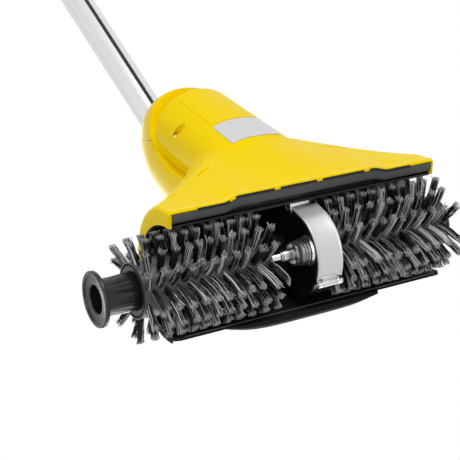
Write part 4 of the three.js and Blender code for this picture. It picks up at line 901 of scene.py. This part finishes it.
for name, x_from, x_to in (("left", LUG_INNER, CASE_HALF), ("right", -CASE_HALF, -LUG_INNER)):
    lug = hinge_rod(HINGE_ROLL, x_from, x_to)
    combine(lug, hinge_rod(HINGE_ROLL, x_from, x_to, 4), "UNION")
    combine(lug, hinge_rod(HINGE_BORE, -20, 20), "DIFFERENCE")
    round_edges(lug, 0.3, angle=50)
    lug.name = f"hinge_lug_{name}"
    finish_piece(lug, 35, "head", "steel", steel)

# Wear band
# A strip of bright aluminium bent round the case, with both edges rolled up. It swings on a steel
# pin at the front, runs straight off at the rear and snaps under the keeper clip.
BAND_INNER = 42.2
BAND_BEND = -30
BAND_FRONT = -121
BAND_TAIL = 15.5
LAP_INNER = 42.8
LAP_OUTER = 44.6
BAND_EDGE = ((-14, 0.3), (-14, 1.5), (-13.7, 2.15), (-13.1, 2.3), (-12.5, 2), (-12, 1.3), (-11.4, 1.2))


def band_section():
    right = [(-x, rise) for x, rise in reversed(BAND_EDGE)]
    return [*BAND_EDGE, *right, (13.6, 0), (-13.6, 0)]


def band_path():
    stops = []
    turn = math.radians(BAND_BEND)
    out = Vector((0, math.cos(turn), math.sin(turn)))
    run = Vector((0, -math.sin(turn), math.cos(turn)))
    bend = on_roller(0, BAND_INNER, BAND_BEND)
    for i in range(6):
        stops.append((bend + run * (BAND_TAIL * (1 - i / 6) / 1000), out))
    steps = 60
    for i in range(steps + 1):
        angle = BAND_BEND + (BAND_FRONT - BAND_BEND) * i / steps
        turn = math.radians(angle)
        stops.append((on_roller(0, BAND_INNER, angle), Vector((0, math.cos(turn), math.sin(turn)))))
    return stops


rings = []
for foot, out in band_path():
    rings.append([foot + Vector((x / 1000, 0, 0)) + out * (rise / 1000) for x, rise in band_section()])
band = loft("wear_band_strip", rings)
lap_corners = ((-KNUCKLE_HALF, LAP_INNER), (KNUCKLE_HALF, LAP_INNER),
               (KNUCKLE_HALF, LAP_OUTER), (-KNUCKLE_HALF, LAP_OUTER))
lap = [[on_roller(x, radius, angle) for x, radius in lap_corners] for angle in range(-118, -129, -2)]
combine(band, loft("lap", lap), "UNION")
combine(band, hinge_rod(HINGE_ROLL, -KNUCKLE_HALF, KNUCKLE_HALF), "UNION")
combine(band, hinge_rod(HINGE_BORE, -20, 20), "DIFFERENCE")
round_edges(band, 0.25, angle=50)
band_metal = metal_look("aluminium", (0.6, 0.605, 0.61), (0.72, 0.725, 0.73), 0.36, (12, 1, 1), 0.05,
                        60.0, 0, 0.5)
finish_piece(band, 35, "band", "aluminium", band_metal, "wear_band")

# Hinge pin
# A turned steel pin through the case's lugs and the band's rolled end, with a domed head at one
# side and a chamfered end at the other.
PIN_RADIUS = 1.6
PIN_HEAD = 2.7
pin_shank = hinge_rod(PIN_RADIUS, -14, 11.8)
pin_shank.name = "band_hinge_rod"
combine(pin_shank, hinge_rod(PIN_HEAD, -14.4, -13.1), "UNION")
round_edges(pin_shank, 0.4, 3, 30)
finish_piece(pin_shank, 40, "head", "steel", steel, "band_hinge_pin")

# Keeper clip
# A strip of spring steel folded over the rear end of the band and hooked on the case. A flat wing
# with a curled tail lies under its fold on the drawn-out side.
CLIP_HALF = 12
clip_line = [(41.9, 9), (51.4, 9.2), (51.9, 8.4), (51.9, -3.2), (51.2, -4), (45, -4)]
clip_inner = [(45, -2.6), (50.2, -2.6), (50.7, -2.2), (50.7, 7.4), (50.2, 7.7), (41.9, 7.4)]
clip_rings = [[on_roller(x, radius, angle) for radius, angle in clip_line + clip_inner]
              for x in (-CLIP_HALF, CLIP_HALF)]
clip = loft("keeper_clip_strip", clip_rings)
round_edges(clip, 0.3)
finish_piece(clip, 35, "head", "steel", steel, "band_keeper_clip")

WING_LOW = 44.6
WING_THICK = 0.9
WING_OUTLINE = [(-6, 51.2), (13.6, 51.2), (15, 49.8), (15, 43), (14.4, 40.8), (13.6, 39.8),
                (13, 40.6), (13.5, 43.4), (12.4, 45.6), (-6, 46.6)]
wing = loft("keeper_clip_wing", [[at(x, y, z) for x, y in WING_OUTLINE]
                                 for z in (WING_LOW, WING_LOW + WING_THICK)])
round_edges(wing, 0.2)
finish_piece(wing, 35, "head", "steel", steel)

# Front splash plate
# A black moulded apron that hangs in front of the brushes, bent to their curve, with a rounded
# bumper swelling out near its middle. A thin cheek stands at its left end, and a paler grey strip
# along its lower edge is a painted highlight where that rounded edge catches the light.
APRON_INNER = 51.2
APRON_WALL = 3.6
APRON_TOP = 150
APRON_LOW = 185.6
APRON_HALF = 156
APRON_LEFT = 151.6
CHEEK = (150.4, 151.4)
CHEEK_RADIUS = 58.2
CHEEK_FROM = 105
CHEEK_BEND = 174
CHEEK_LOW = 175.8
BUMPER_FULLNESS = 4.5
APRON_CORNER = 8
BUMPER_MIDDLE = 11
BUMPER_TOP_HALF = 96
BUMPER_LOW_HALF = 78
BUMPER_LOW = 35
BUMPER_TOP = 62.8
BUMPER_REACH = 8
BUMPER_ROOT = 1.4


def apron_ring(x, low):
    steps = 24
    outer = APRON_INNER + APRON_WALL
    ring = [on_roller(x, outer, APRON_TOP + (low - APRON_TOP) * i / steps) for i in range(steps + 1)]
    ring += [on_roller(x, APRON_INNER, low + (APRON_TOP - low) * i / steps) for i in range(steps + 1)]
    return ring


corner_turn = math.degrees(APRON_CORNER / APRON_INNER)


def apron_end(end):
    """Rings round one lower corner of the apron, from its end inwards."""
    rings = []
    for i in range(13):
        turn = math.pi / 2 * i / 12
        low = APRON_LOW - corner_turn * (1 - math.sin(turn))
        rings.append(apron_ring(end - math.copysign(APRON_CORNER * (1 - math.cos(turn)), end), low))
    return rings


middle_rings = [apron_ring(x, APRON_LOW) for x in (120, 80, 40, 0, -40, -80, -120)]
apron = loft("front_apron", apron_end(APRON_LEFT) + middle_rings + apron_end(-APRON_HALF)[::-1])


def bumper_ring(share):
    z = BUMPER_LOW + (BUMPER_TOP - BUMPER_LOW) * share
    half = BUMPER_LOW_HALF + (BUMPER_TOP_HALF - BUMPER_LOW_HALF) * share
    reach = BUMPER_REACH * (0.36 + 0.64 * (1 - abs(2 * share - 1) ** 2.2))
    root = -APRON_INNER - BUMPER_ROOT
    ring = [at(BUMPER_MIDDLE - half, root, z)]
    steps = 40
    for i in range(steps + 1):
        place = 2 * i / steps - 1
        swell = reach * (1 - abs(place) ** BUMPER_FULLNESS)
        ring.append(at(BUMPER_MIDDLE + half * place, -APRON_INNER - APRON_WALL - swell, z))
    ring.append(at(BUMPER_MIDDLE + half, root, z))
    return ring


bumper = loft("bumper", [bumper_ring(i / 16) for i in range(17)])
combine(apron, bumper, "UNION")
round_edges(apron, 0.9, 3)
cheek_line = []
for i in range(33):
    cheek_line.append((APRON_INNER + 1.4, CHEEK_FROM + (CHEEK_LOW - CHEEK_FROM) * i / 32))
cheek_line.append((APRON_INNER + APRON_WALL, CHEEK_LOW))
for i in range(33):
    cheek_line.append((CHEEK_RADIUS, CHEEK_BEND + (CHEEK_FROM - CHEEK_BEND) * i / 32))
cheek = loft("apron_cheek", [[on_roller(x, radius, angle) for radius, angle in cheek_line] for x in CHEEK])
apron_plastic = plastic_look("apron_plastic", (0.012, 0.012, 0.013), (0.018, 0.018, 0.019), 0.6, 0.05)
finish_piece(cheek, 35, "head", "black_plastic", apron_plastic)
finish_piece(apron, 35, "head", "black_plastic", apron_plastic, "front_splash_plate")
# Painted highlight: a paler grey strip on the lower edge stands in for the light its rounding catches.
highlight_corners = ((51.5, 185.2), (51.5, 186.3), (52.5, 186.3), (52.5, 185.2))
edge_highlight = loft("apron_edge_highlight", [[on_roller(x, radius, angle) for radius, angle in highlight_corners]
                                     for x in (-146, 0, 143)])
finish_piece(edge_highlight, 35, "head", "grey_plastic", skirt_plastic)

# Drive shaft and hubs
# A ground steel shaft runs through the case and turns both brushes. A stepped hub with three
# turned grooves is pressed on it at the dished side, and a plain ring at the other.
SHAFT_REACH = 122
SPIGOT = 3.9
shaft_profile = [
    (0.01, -SHAFT_REACH), (SPIGOT, -SHAFT_REACH), (SPIGOT, -30), (6, -30), (6, 27), (5.1, 27.3),
    (5.1, 28.4), (6, 28.7), (6, 30), (SPIGOT, 30), (SPIGOT, 40), (3.2, 40.4), (3.2, 41.6), (SPIGOT, 42),
    (SPIGOT, SHAFT_REACH), (0.01, SHAFT_REACH),
]
shaft = turned("drive_shaft_rod", shaft_profile, 64, 0.35)
finish_piece(shaft, 35, "roller", "steel", steel, "drive_shaft")
hub_profile = [
    (6.3, -3.7), (15.6, -3.7), (15.6, -2.2), (14.6, -0.6), (13.6, 0.2), (13.4, 1), (13.4, 2.2),
    (12.3, 2.7), (12.3, 3.6), (13.3, 4.1), (13.3, 5.2), (12.1, 5.7), (12.1, 6.6), (13.1, 7.1),
    (12.9, 8.2), (11.2, 8.7), (11.2, 9.6), (11.9, 10), (11.8, 15.2), (9.7, 15.2), (9.7, 9.2), (6.3, 9.2),
]
hub_metal = metal_look("hub_metal", (0.8, 0.81, 0.82), (0.95, 0.955, 0.96), 0.22, (9, 1, 1), 0.05,
                       90.0, 0, 0.88)
hub = turned("left_hub", hub_profile, 96, 0.2)
finish_piece(hub, 35, "roller", "steel", hub_metal, "left_drive_hub")
ring_profile = [(6.3, -13.1), (11.8, -13.1), (11.8, -16.8), (6.3, -16.8)]
hub = turned("right_hub", ring_profile)
finish_piece(hub, 35, "roller", "steel", steel, "right_drive_hub")

# Brush cores
# Grey tubes with a bore for the shaft at the inner end and a deep pocket for the spool hub at the
# outer end. A black ring closes each outer end.
CORE_RADIUS = 26.6
CORE_LENGTH = 134
BRUSH_HOME = 19
BRUSH_DRAWN = 33
SPOOL_DRAWN = 33.4
BRUSH_END = BRUSH_HOME + CORE_LENGTH
core_plastic = plastic_look("core_plastic", (0.05, 0.051, 0.053), (0.085, 0.087, 0.09), 0.3, 0.4)
sleeve_profile = [
    (25, BRUSH_HOME), (CORE_RADIUS, BRUSH_HOME), (CORE_RADIUS, BRUSH_END), (25, BRUSH_END),
]
core_profile = [
    (6.4, BRUSH_HOME), (24.6, BRUSH_HOME), (24.6, BRUSH_END - 3), (18.2, BRUSH_END - 3),
    (18.2, BRUSH_END - 46), (4.2, BRUSH_END - 46), (4.2, BRUSH_HOME + 14), (6.4, BRUSH_HOME + 14),
]
ring_profile = [
    (18.2, BRUSH_END - 2.6), (23.6, BRUSH_END - 2.6), (23.6, BRUSH_END - 0.8), (23, BRUSH_END),
    (18.2, BRUSH_END),
]


def to_side(profile, side, shift):
    return [(radius, side * (reach + shift)) for radius, reach in profile]


SIDES = (("left", 1, BRUSH_DRAWN), ("right", -1, 0))
for side_name, side, shift in SIDES:
    core = turned(f"{side_name}_core", to_side(core_profile, side, shift))
    finish_piece(core, 35, f"{side_name}_brush", "grey_plastic", core_plastic, f"{side_name}_brush_core")
    ring = turned(f"{side_name}_ring", to_side(ring_profile, side, shift))
    finish_piece(ring, 35, f"{side_name}_brush", "black_plastic", black_plastic, f"{side_name}_core_ring")

# Bristles
# Each sleeve carries 14 rows of 11 tufts of crimped nylon filament, cut to one radius. The tufts
# that stood on the ground are splayed to both sides, and the tips are frayed; their pale ends are a
# painted highlight.
TUFT_ROWS = 14
TUFTS_PER_ROW = 11
TUFT_START = BRUSH_HOME + 3.8
TUFT_PITCH = 12.1
TUFT_STAGGER = 0.45
TUFT_ROW_SHARE = 0.25
TUFT_TRIM = 0.035
TUFT_JITTER = 3.5
TIP_RADIUS = 49.5
ROOT_RADIUS = 25.7
ROOT_SPREAD = 2.4
ROOT_ROUND_SPREAD = 4.4
TIP_SPREAD = 3.1
FILAMENTS = 34
FILAMENT_RADIUS = 0.46
FILAMENT_RINGS = 6
CRIMP = 0.28
PARTING = -82
SPLAY_UP = 6
SPLAY_DOWN = 13
SPLAY_REACH = 0.85
SWEEP = 6
LEAD = 3.2
LEAD_REACH = 0.45
FRAYED_SHARE = 0.25
FRAY = 2.6
TONE_SPREAD = 0.22
PAINTED_LIT_SIDE_TONE = 0.3
TIP_WANDER = 0.22
UNEVEN_CUT = 0.035
GOLDEN_TURN = 2.39996
CRIMP_TURN = 2.6
TIP_CLEAR = 0.4
REACH_FROM = 15.0
REACH_TO = 158.2


def bristle_look():
    """Crimped nylon, dark grey with a tone that differs from one filament to the next; the palest
    filaments, one paler side of each tuft and the pale cut tips are painted highlights.
    """
    look = bpy.data.materials.new("bristle_filament")
    tree = shader_tree(look)
    strand = add_node(tree, "UVMap", uv_map="strand")
    parts = add_node(tree, "SeparateXYZ", {0: strand[0]})
    # Filament tones differ at random; the near-white upper end of this ramp is painted highlight, standing
    # in for streaks of light along the nylon.
    tone = add_node(tree, "ValToRGB", {0: parts[0]})
    ramp = tree.nodes[-1].color_ramp
    ramp.elements[0].position = 0.0
    ramp.elements[0].color = (0.003, 0.003, 0.0035, 1)
    ramp.elements[1].position = 1.0
    ramp.elements[1].color = (0.8, 0.8, 0.81, 1)
    for place, level in ((0.5, 0.012), (0.66, 0.06), (0.78, 0.4)):
        middle = ramp.elements.new(place)
        middle.color = (level, level, level * 1.03, 1)
    # Painted highlight: the cut tips turn pale grey, standing in for their glints.
    tip_glint = add_node(tree, "MapRange",
                    {0: parts[1], "From Min": 0.86, "From Max": 1.0, "To Min": 0.0, "To Max": 0.7})
    paint = add_node(tree, "Mix", {0: tip_glint[0], 6: tone[0], 7: (0.55, 0.55, 0.56, 1)},
                     data_type="RGBA")
    shader = add_node(tree, "BsdfPrincipled",
                      {"Roughness": 0.4, "Specular IOR Level": 0.25, "Base Color": paint[2]})
    add_node(tree, "OutputMaterial", {0: shader[0]})
    return look


def tuft_places():
    """Each tuft's (reach, angle, lean, swing, trim) on the home place of the drawn-out side."""
    state = 7
    places = []

    def chance():
        nonlocal state
        state = (state * 16807) % 2147483647
        return state / 2147483647 - 0.5

    for row in range(TUFT_ROWS):
        stagger = (row % 2) * TUFT_STAGGER * TUFT_PITCH
        angle = (row + TUFT_ROW_SHARE) * 360 / TUFT_ROWS
        for i in range(TUFTS_PER_ROW):
            from_end = min(i, TUFTS_PER_ROW - 1 - i)
            lean = TUFT_JITTER * chance() * 2
            if i == 0:
                lean = -10
            elif i == TUFTS_PER_ROW - 1:
                lean = 15
            elif from_end == 1:
                lean = -7 if i < TUFTS_PER_ROW / 2 else 7
            swing = TUFT_JITTER * chance()
            trim = TUFT_TRIM * (chance() + 0.5)
            places.append((TUFT_START + stagger + i * TUFT_PITCH, angle, lean, swing, trim))
    return places


def height_share(r):
    """How far up a filament one of its rings stands."""
    return r / (FILAMENT_RINGS - 1)


def brush_mesh(name, side, shift, seed):
    dice = random.Random(seed)
    points, faces, strands = [], [], []
    for reach, angle, lean, swing, trim in tuft_places():
        lean = math.radians(lean)
        length = (TIP_RADIUS - ROOT_RADIUS) * (1 - trim)
        turn = math.radians(angle)
        tip_turn = math.radians(angle + swing)
        off = (tip_turn - math.radians(PARTING) + math.pi) % (2 * math.pi) - math.pi
        nearness = math.exp(-(off / SPLAY_REACH) ** 2) * dice.uniform(0.8, 1.15)
        splay = SPLAY_UP * nearness if off > 0 else -SPLAY_DOWN * nearness
        sweep = -side * SWEEP * nearness if off < 0 else 0
        lead = math.copysign(LEAD * math.exp(-(off / LEAD_REACH) ** 2), off)
        tuft_tone = dice.uniform(-TONE_SPREAD, TONE_SPREAD)
        lit_side = dice.uniform(0, 2 * math.pi)
        for k in range(FILAMENTS):
            spot = math.sqrt((k + 0.5) / FILAMENTS)
            spin = k * GOLDEN_TURN
            a, b = spot * math.cos(spin), spot * math.sin(spin)
            far_a = TIP_SPREAD * (1.15 * a + dice.uniform(-TIP_WANDER, TIP_WANDER))
            far_b = TIP_SPREAD * (1.05 * b + dice.uniform(-TIP_WANDER, TIP_WANDER))
            cut = length * (1 - dice.uniform(0, UNEVEN_CUT))
            # Painted light: one side of each tuft, at a random turn, is made paler as if lit.
            painted_lit_side = PAINTED_LIT_SIDE_TONE * spot * math.cos(spin - lit_side)
            strand_tone = min(max(dice.random() + tuft_tone + painted_lit_side, 0.0), 1.0)
            phase = dice.uniform(0, 2 * math.pi)
            start = len(points)
            frayed = dice.random() < FRAYED_SHARE
            fray_x, fray_round = dice.uniform(-FRAY, FRAY), dice.uniform(-FRAY, FRAY)
            for r in range(FILAMENT_RINGS):
                v = height_share(r)
                flare = v ** 1.5
                wave = CRIMP * math.sin(phase + CRIMP_TURN * r) if r else 0
                across = ROOT_SPREAD * a * (1 - flare) + far_a * flare + wave
                round_ = ROOT_ROUND_SPREAD * b * (1 - flare) + far_b * flare
                round_ += CRIMP * math.cos(phase + CRIMP_TURN * r) * v
                radius = ROOT_RADIUS + cut * math.cos(lean) * v
                if r == FILAMENT_RINGS - 1 and frayed:
                    across += fray_x
                    round_ += fray_round
                x = reach + cut * math.sin(lean) * v + across + sweep * v ** 1.5
                t = turn + (tip_turn - turn) * v + (splay * v ** 1.7 - lead * (1 - v)) / radius
                y = radius * math.cos(t) - round_ * math.sin(t)
                z = radius * math.sin(t) + round_ * math.cos(t)
                far = math.hypot(y, z)
                if far > TIP_RADIUS - TIP_CLEAR:
                    y = y * (TIP_RADIUS - TIP_CLEAR) / far
                    z = z * (TIP_RADIUS - TIP_CLEAR) / far
                x = min(max(x, REACH_FROM), REACH_TO)
                thick = FILAMENT_RADIUS * (1 - 0.25 * v)
                for s in range(3):
                    corner = phase + 2 * math.pi * s / 3
                    points.append(at(
                        side * (x + shift + thick * math.cos(corner)),
                        y - thick * math.sin(corner) * math.sin(t),
                        AXIS_HEIGHT + z + thick * math.sin(corner) * math.cos(t),
                    ))
            for r in range(FILAMENT_RINGS - 1):
                for s in range(3):
                    p, q = start + r * 3 + s, start + r * 3 + (s + 1) % 3
                    faces.append((p, q, q + 3, p + 3))
                    strands.append((strand_tone, height_share(r), height_share(r + 1)))
            end = start + (FILAMENT_RINGS - 1) * 3
            faces.append((start + 2, start + 1, start))
            strands.append((strand_tone, 0, 0))
            faces.append((end, end + 1, end + 2))
            strands.append((strand_tone, 1, 1))
    mesh = bpy.data.meshes.new(name)
    mesh.from_pydata([tuple(p) for p in points], [], faces)
    piece = bpy.data.objects.new(name, mesh)
    scene.collection.objects.link(piece)
    layer = mesh.uv_layers.new(name="strand")
    for face, (tone, low, high) in zip(mesh.polygons, strands):
        for n, corner in enumerate(face.loop_indices):
            layer.data[corner].uv = (tone, low if n < 2 else high)
    bpy.ops.object.select_all(action="DESELECT")
    bpy.context.view_layer.objects.active = piece
    piece.select_set(True)
    bpy.ops.object.mode_set(mode="EDIT")
    bpy.ops.mesh.select_all(action="SELECT")
    bpy.ops.mesh.normals_make_consistent(inside=False)
    bpy.ops.object.mode_set(mode="OBJECT")
    return piece


filament = bristle_look()
for side_name, side, shift in SIDES:
    sleeve = turned(f"{side_name}_sleeve", to_side(sleeve_profile, side, shift))
    finish_piece(sleeve, 35, f"{side_name}_brush", "grey_plastic", core_plastic)
    tufts = brush_mesh(f"{side_name}_tufts", side, shift, 11 if side > 0 else 29)
    finish_piece(tufts, 80, f"{side_name}_brush", "bristle_filament", filament, f"{side_name}_bristles")

# Spool hubs
# Black moulded spools that lock the brushes on the shaft. They are drawn out by the flange, and
# the cup in the outer face is stepped.
SPOOL_HOME = BRUSH_END + 0.4
SPOOL_OUT = SPOOL_HOME + 4
SPOOL_IN = SPOOL_HOME - 41
spool_profile = [
    (4.8, SPOOL_IN), (16.9, SPOOL_IN), (17.8, SPOOL_IN + 1), (17.8, SPOOL_HOME - 0.35),
    (18.2, SPOOL_HOME), (20.5, SPOOL_HOME), (25.6, SPOOL_HOME), (26.3, SPOOL_HOME + 0.8),
    (26.3, SPOOL_OUT - 0.8), (25.6, SPOOL_OUT), (22.4, SPOOL_OUT), (21.8, SPOOL_OUT - 1.5),
    (14, SPOOL_OUT - 1.5), (13.2, SPOOL_OUT - 2.3), (13.2, SPOOL_IN + 4.6), (4.8, SPOOL_IN + 4.6),
]
spool_plastic = plastic_look("spool_plastic", (0.006, 0.006, 0.007), (0.010, 0.010, 0.011), 0.24, 0.4)
for side_name, side, shift in SIDES:
    drawn = SPOOL_DRAWN if side > 0 else 0
    spool = turned(f"{side_name}_spool_moulding", to_side(spool_profile, side, shift + drawn), 96, 0.35)
    finish_piece(spool, 35, f"{side_name}_spool", "black_plastic", spool_plastic, f"{side_name}_spool_hub")

# Motor
# A universal motor in the barrel: laminated stator, copper-wound armature with its fan, and the
# black cradle that holds it. The shells hide all of it.


def dress(node, material, bevel=0.5, angle=30):
    """A kept piece of the frame: its loose faces are joined, its edges broken, its turns smoothed."""
    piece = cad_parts[node]
    for face in piece.data.polygons:
        face.use_smooth = True
    weld = piece.modifiers.new("weld", "WELD")
    weld.merge_threshold = 0.00001
    if bevel:
        edge = piece.modifiers.new("edge", "BEVEL")
        edge.width = bevel / 1000
        edge.segments = 2
        edge.limit_method = "ANGLE"
        edge.angle_limit = math.radians(angle)
        edge.use_clamp_overlap = True
    split = piece.modifiers.new("split", "EDGE_SPLIT")
    split.split_angle = math.radians(angle)
    piece.data.materials.clear()
    piece.data.materials.append(material)
    return piece


copper = metal_look("copper_winding", (0.35, 0.14, 0.05), (0.5, 0.22, 0.09), 0.35)
dress("motor_stator", steel, 0.3)
dress("motor_armature", copper, 0.3)
dress("motor_cradle", black_plastic, 0.3)

# Tubes
# Two drawn aluminium tubes, the upper one sliding in the lower. A groove pressed along the
# underside keys them together, and a black strip laid in it is painted shade for the groove's dark
# floor. A socket grips the lower tube in the neck.
LOWER_OUTSIDE = (17.5, 2.5, 3.2)
LOWER_BORE = (15.4, 4, 2.6)
UPPER_OUTSIDE = (15.1, 4.3, 2.9)
UPPER_BORE = (12.7, 6.7, 2.9)
LOWER_ENDS = (9, 492)
UPPER_ENDS = (332, 806)
SHADE_STRIP_ENDS = (12, 488)


def grooved_ring(radius, half, depth, along, steps=72):
    """Round a tube, and back through a groove of a half width and a depth."""
    ring = []
    start = math.asin(half / radius)
    for i in range(steps + 1):
        turn = math.pi / 2 + start + (2 * math.pi - 2 * start) * i / steps
        ring.append(on_tube(radius * math.cos(turn), radius * math.sin(turn), along))
    for i in range(1, 8):
        share = i / 8
        x = half * math.cos(math.pi * share)
        ring.append(on_tube(x, radius - depth * math.sin(math.pi * share) ** 0.5, along))
    return ring


def grooved_tube(name, outer, inner, start, end):
    tube = loft(name, [grooved_ring(*outer, along) for along in (start, (start + end) / 2, end)])
    bore = loft("bore", [grooved_ring(*inner, along) for along in (start - 5, end + 5)])
    combine(tube, bore, "DIFFERENCE")
    round_edges(tube, 0.3, angle=50)
    return tube


tube_metal = metal_look("tube_metal", (0.6, 0.602, 0.605), (0.8, 0.802, 0.805), 0.4, (5, 5, 0.03),
                        0.01, 40.0, TUBE_LEAN - math.pi / 2)
lower = grooved_tube("lower_tube_drawn", LOWER_OUTSIDE, LOWER_BORE, *LOWER_ENDS)
finish_piece(lower, 35, "head", "aluminium", tube_metal, "lower_tube")
upper = grooved_tube("upper_tube_drawn", UPPER_OUTSIDE, UPPER_BORE, *UPPER_ENDS)
finish_piece(upper, 35, "telescope", "aluminium", tube_metal, "upper_tube")
# The black strip is painted shade: it darkens the groove's floor where shade falls.
SHADE_STRIP_CORNERS = ((-1.5, 16.6), (1.5, 16.6), (1.5, 13.6), (-1.5, 13.6))
strip = loft("groove_shade_strip", [[on_tube(x, back, along) for x, back in SHADE_STRIP_CORNERS]
                              for along in SHADE_STRIP_ENDS])
finish_piece(strip, 35, "head", "black_plastic", black_plastic)
dress("tube_socket", black_plastic, 0.5)

# Clamp, handles and controls
# Moulded black collars and handles on the tube with grey controls. The collar's lever locks the
# slide, the loop tilts on its pins, and the rear handle holds trigger and lock button.
handle_grey = plastic_look("control_grey", (0.06, 0.063, 0.067), (0.08, 0.083, 0.088), 0.42, 0.4)
for name in ("clamp_pin", "loop_pin_left", "loop_pin_right"):
    dress(name, steel, 0.3)
for name in ("clamp_lever", "trigger", "lock_button"):
    dress(name, handle_grey, 0.6)


def moulded(node, body, voxel, rounds):
    """A smooth moulding in place of a kept solid: its copy is joined, remeshed and eased."""
    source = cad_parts[node]
    bpy.ops.object.select_all(action="DESELECT")
    piece = source.copy()
    piece.data = source.data.copy()
    piece.modifiers.clear()
    piece.name = f"{node}_moulding"
    scene.collection.objects.link(piece)
    bpy.context.view_layer.objects.active = piece
    piece.select_set(True)
    bpy.ops.object.mode_set(mode="EDIT")
    bpy.ops.mesh.select_all(action="SELECT")
    bpy.ops.mesh.remove_doubles(threshold=1e-5)
    bpy.ops.object.mode_set(mode="OBJECT")
    apply_modifier(piece, "REMESH", mode="VOXEL", voxel_size=voxel / 1000, use_smooth_shade=True)
    apply_modifier(piece, "SMOOTH", factor=0.5, iterations=rounds)
    finish_piece(piece, 60, body, "black_plastic", grip_plastic, node)


grip_plastic = plastic_look("grip_plastic", (0.008, 0.008, 0.009), (0.014, 0.014, 0.015), 0.45, 0.3,
                            900.0, 0.25)
for node, body in (("rear_handle", "telescope"), ("loop_handle", "loop"), ("loop_knob", "knob"),
                   ("clamp_collar", "head"), ("loop_collar", "telescope")):
    moulded(node, body, 1.2, 5)
dress("cable_gland", black_plastic, 0.5)
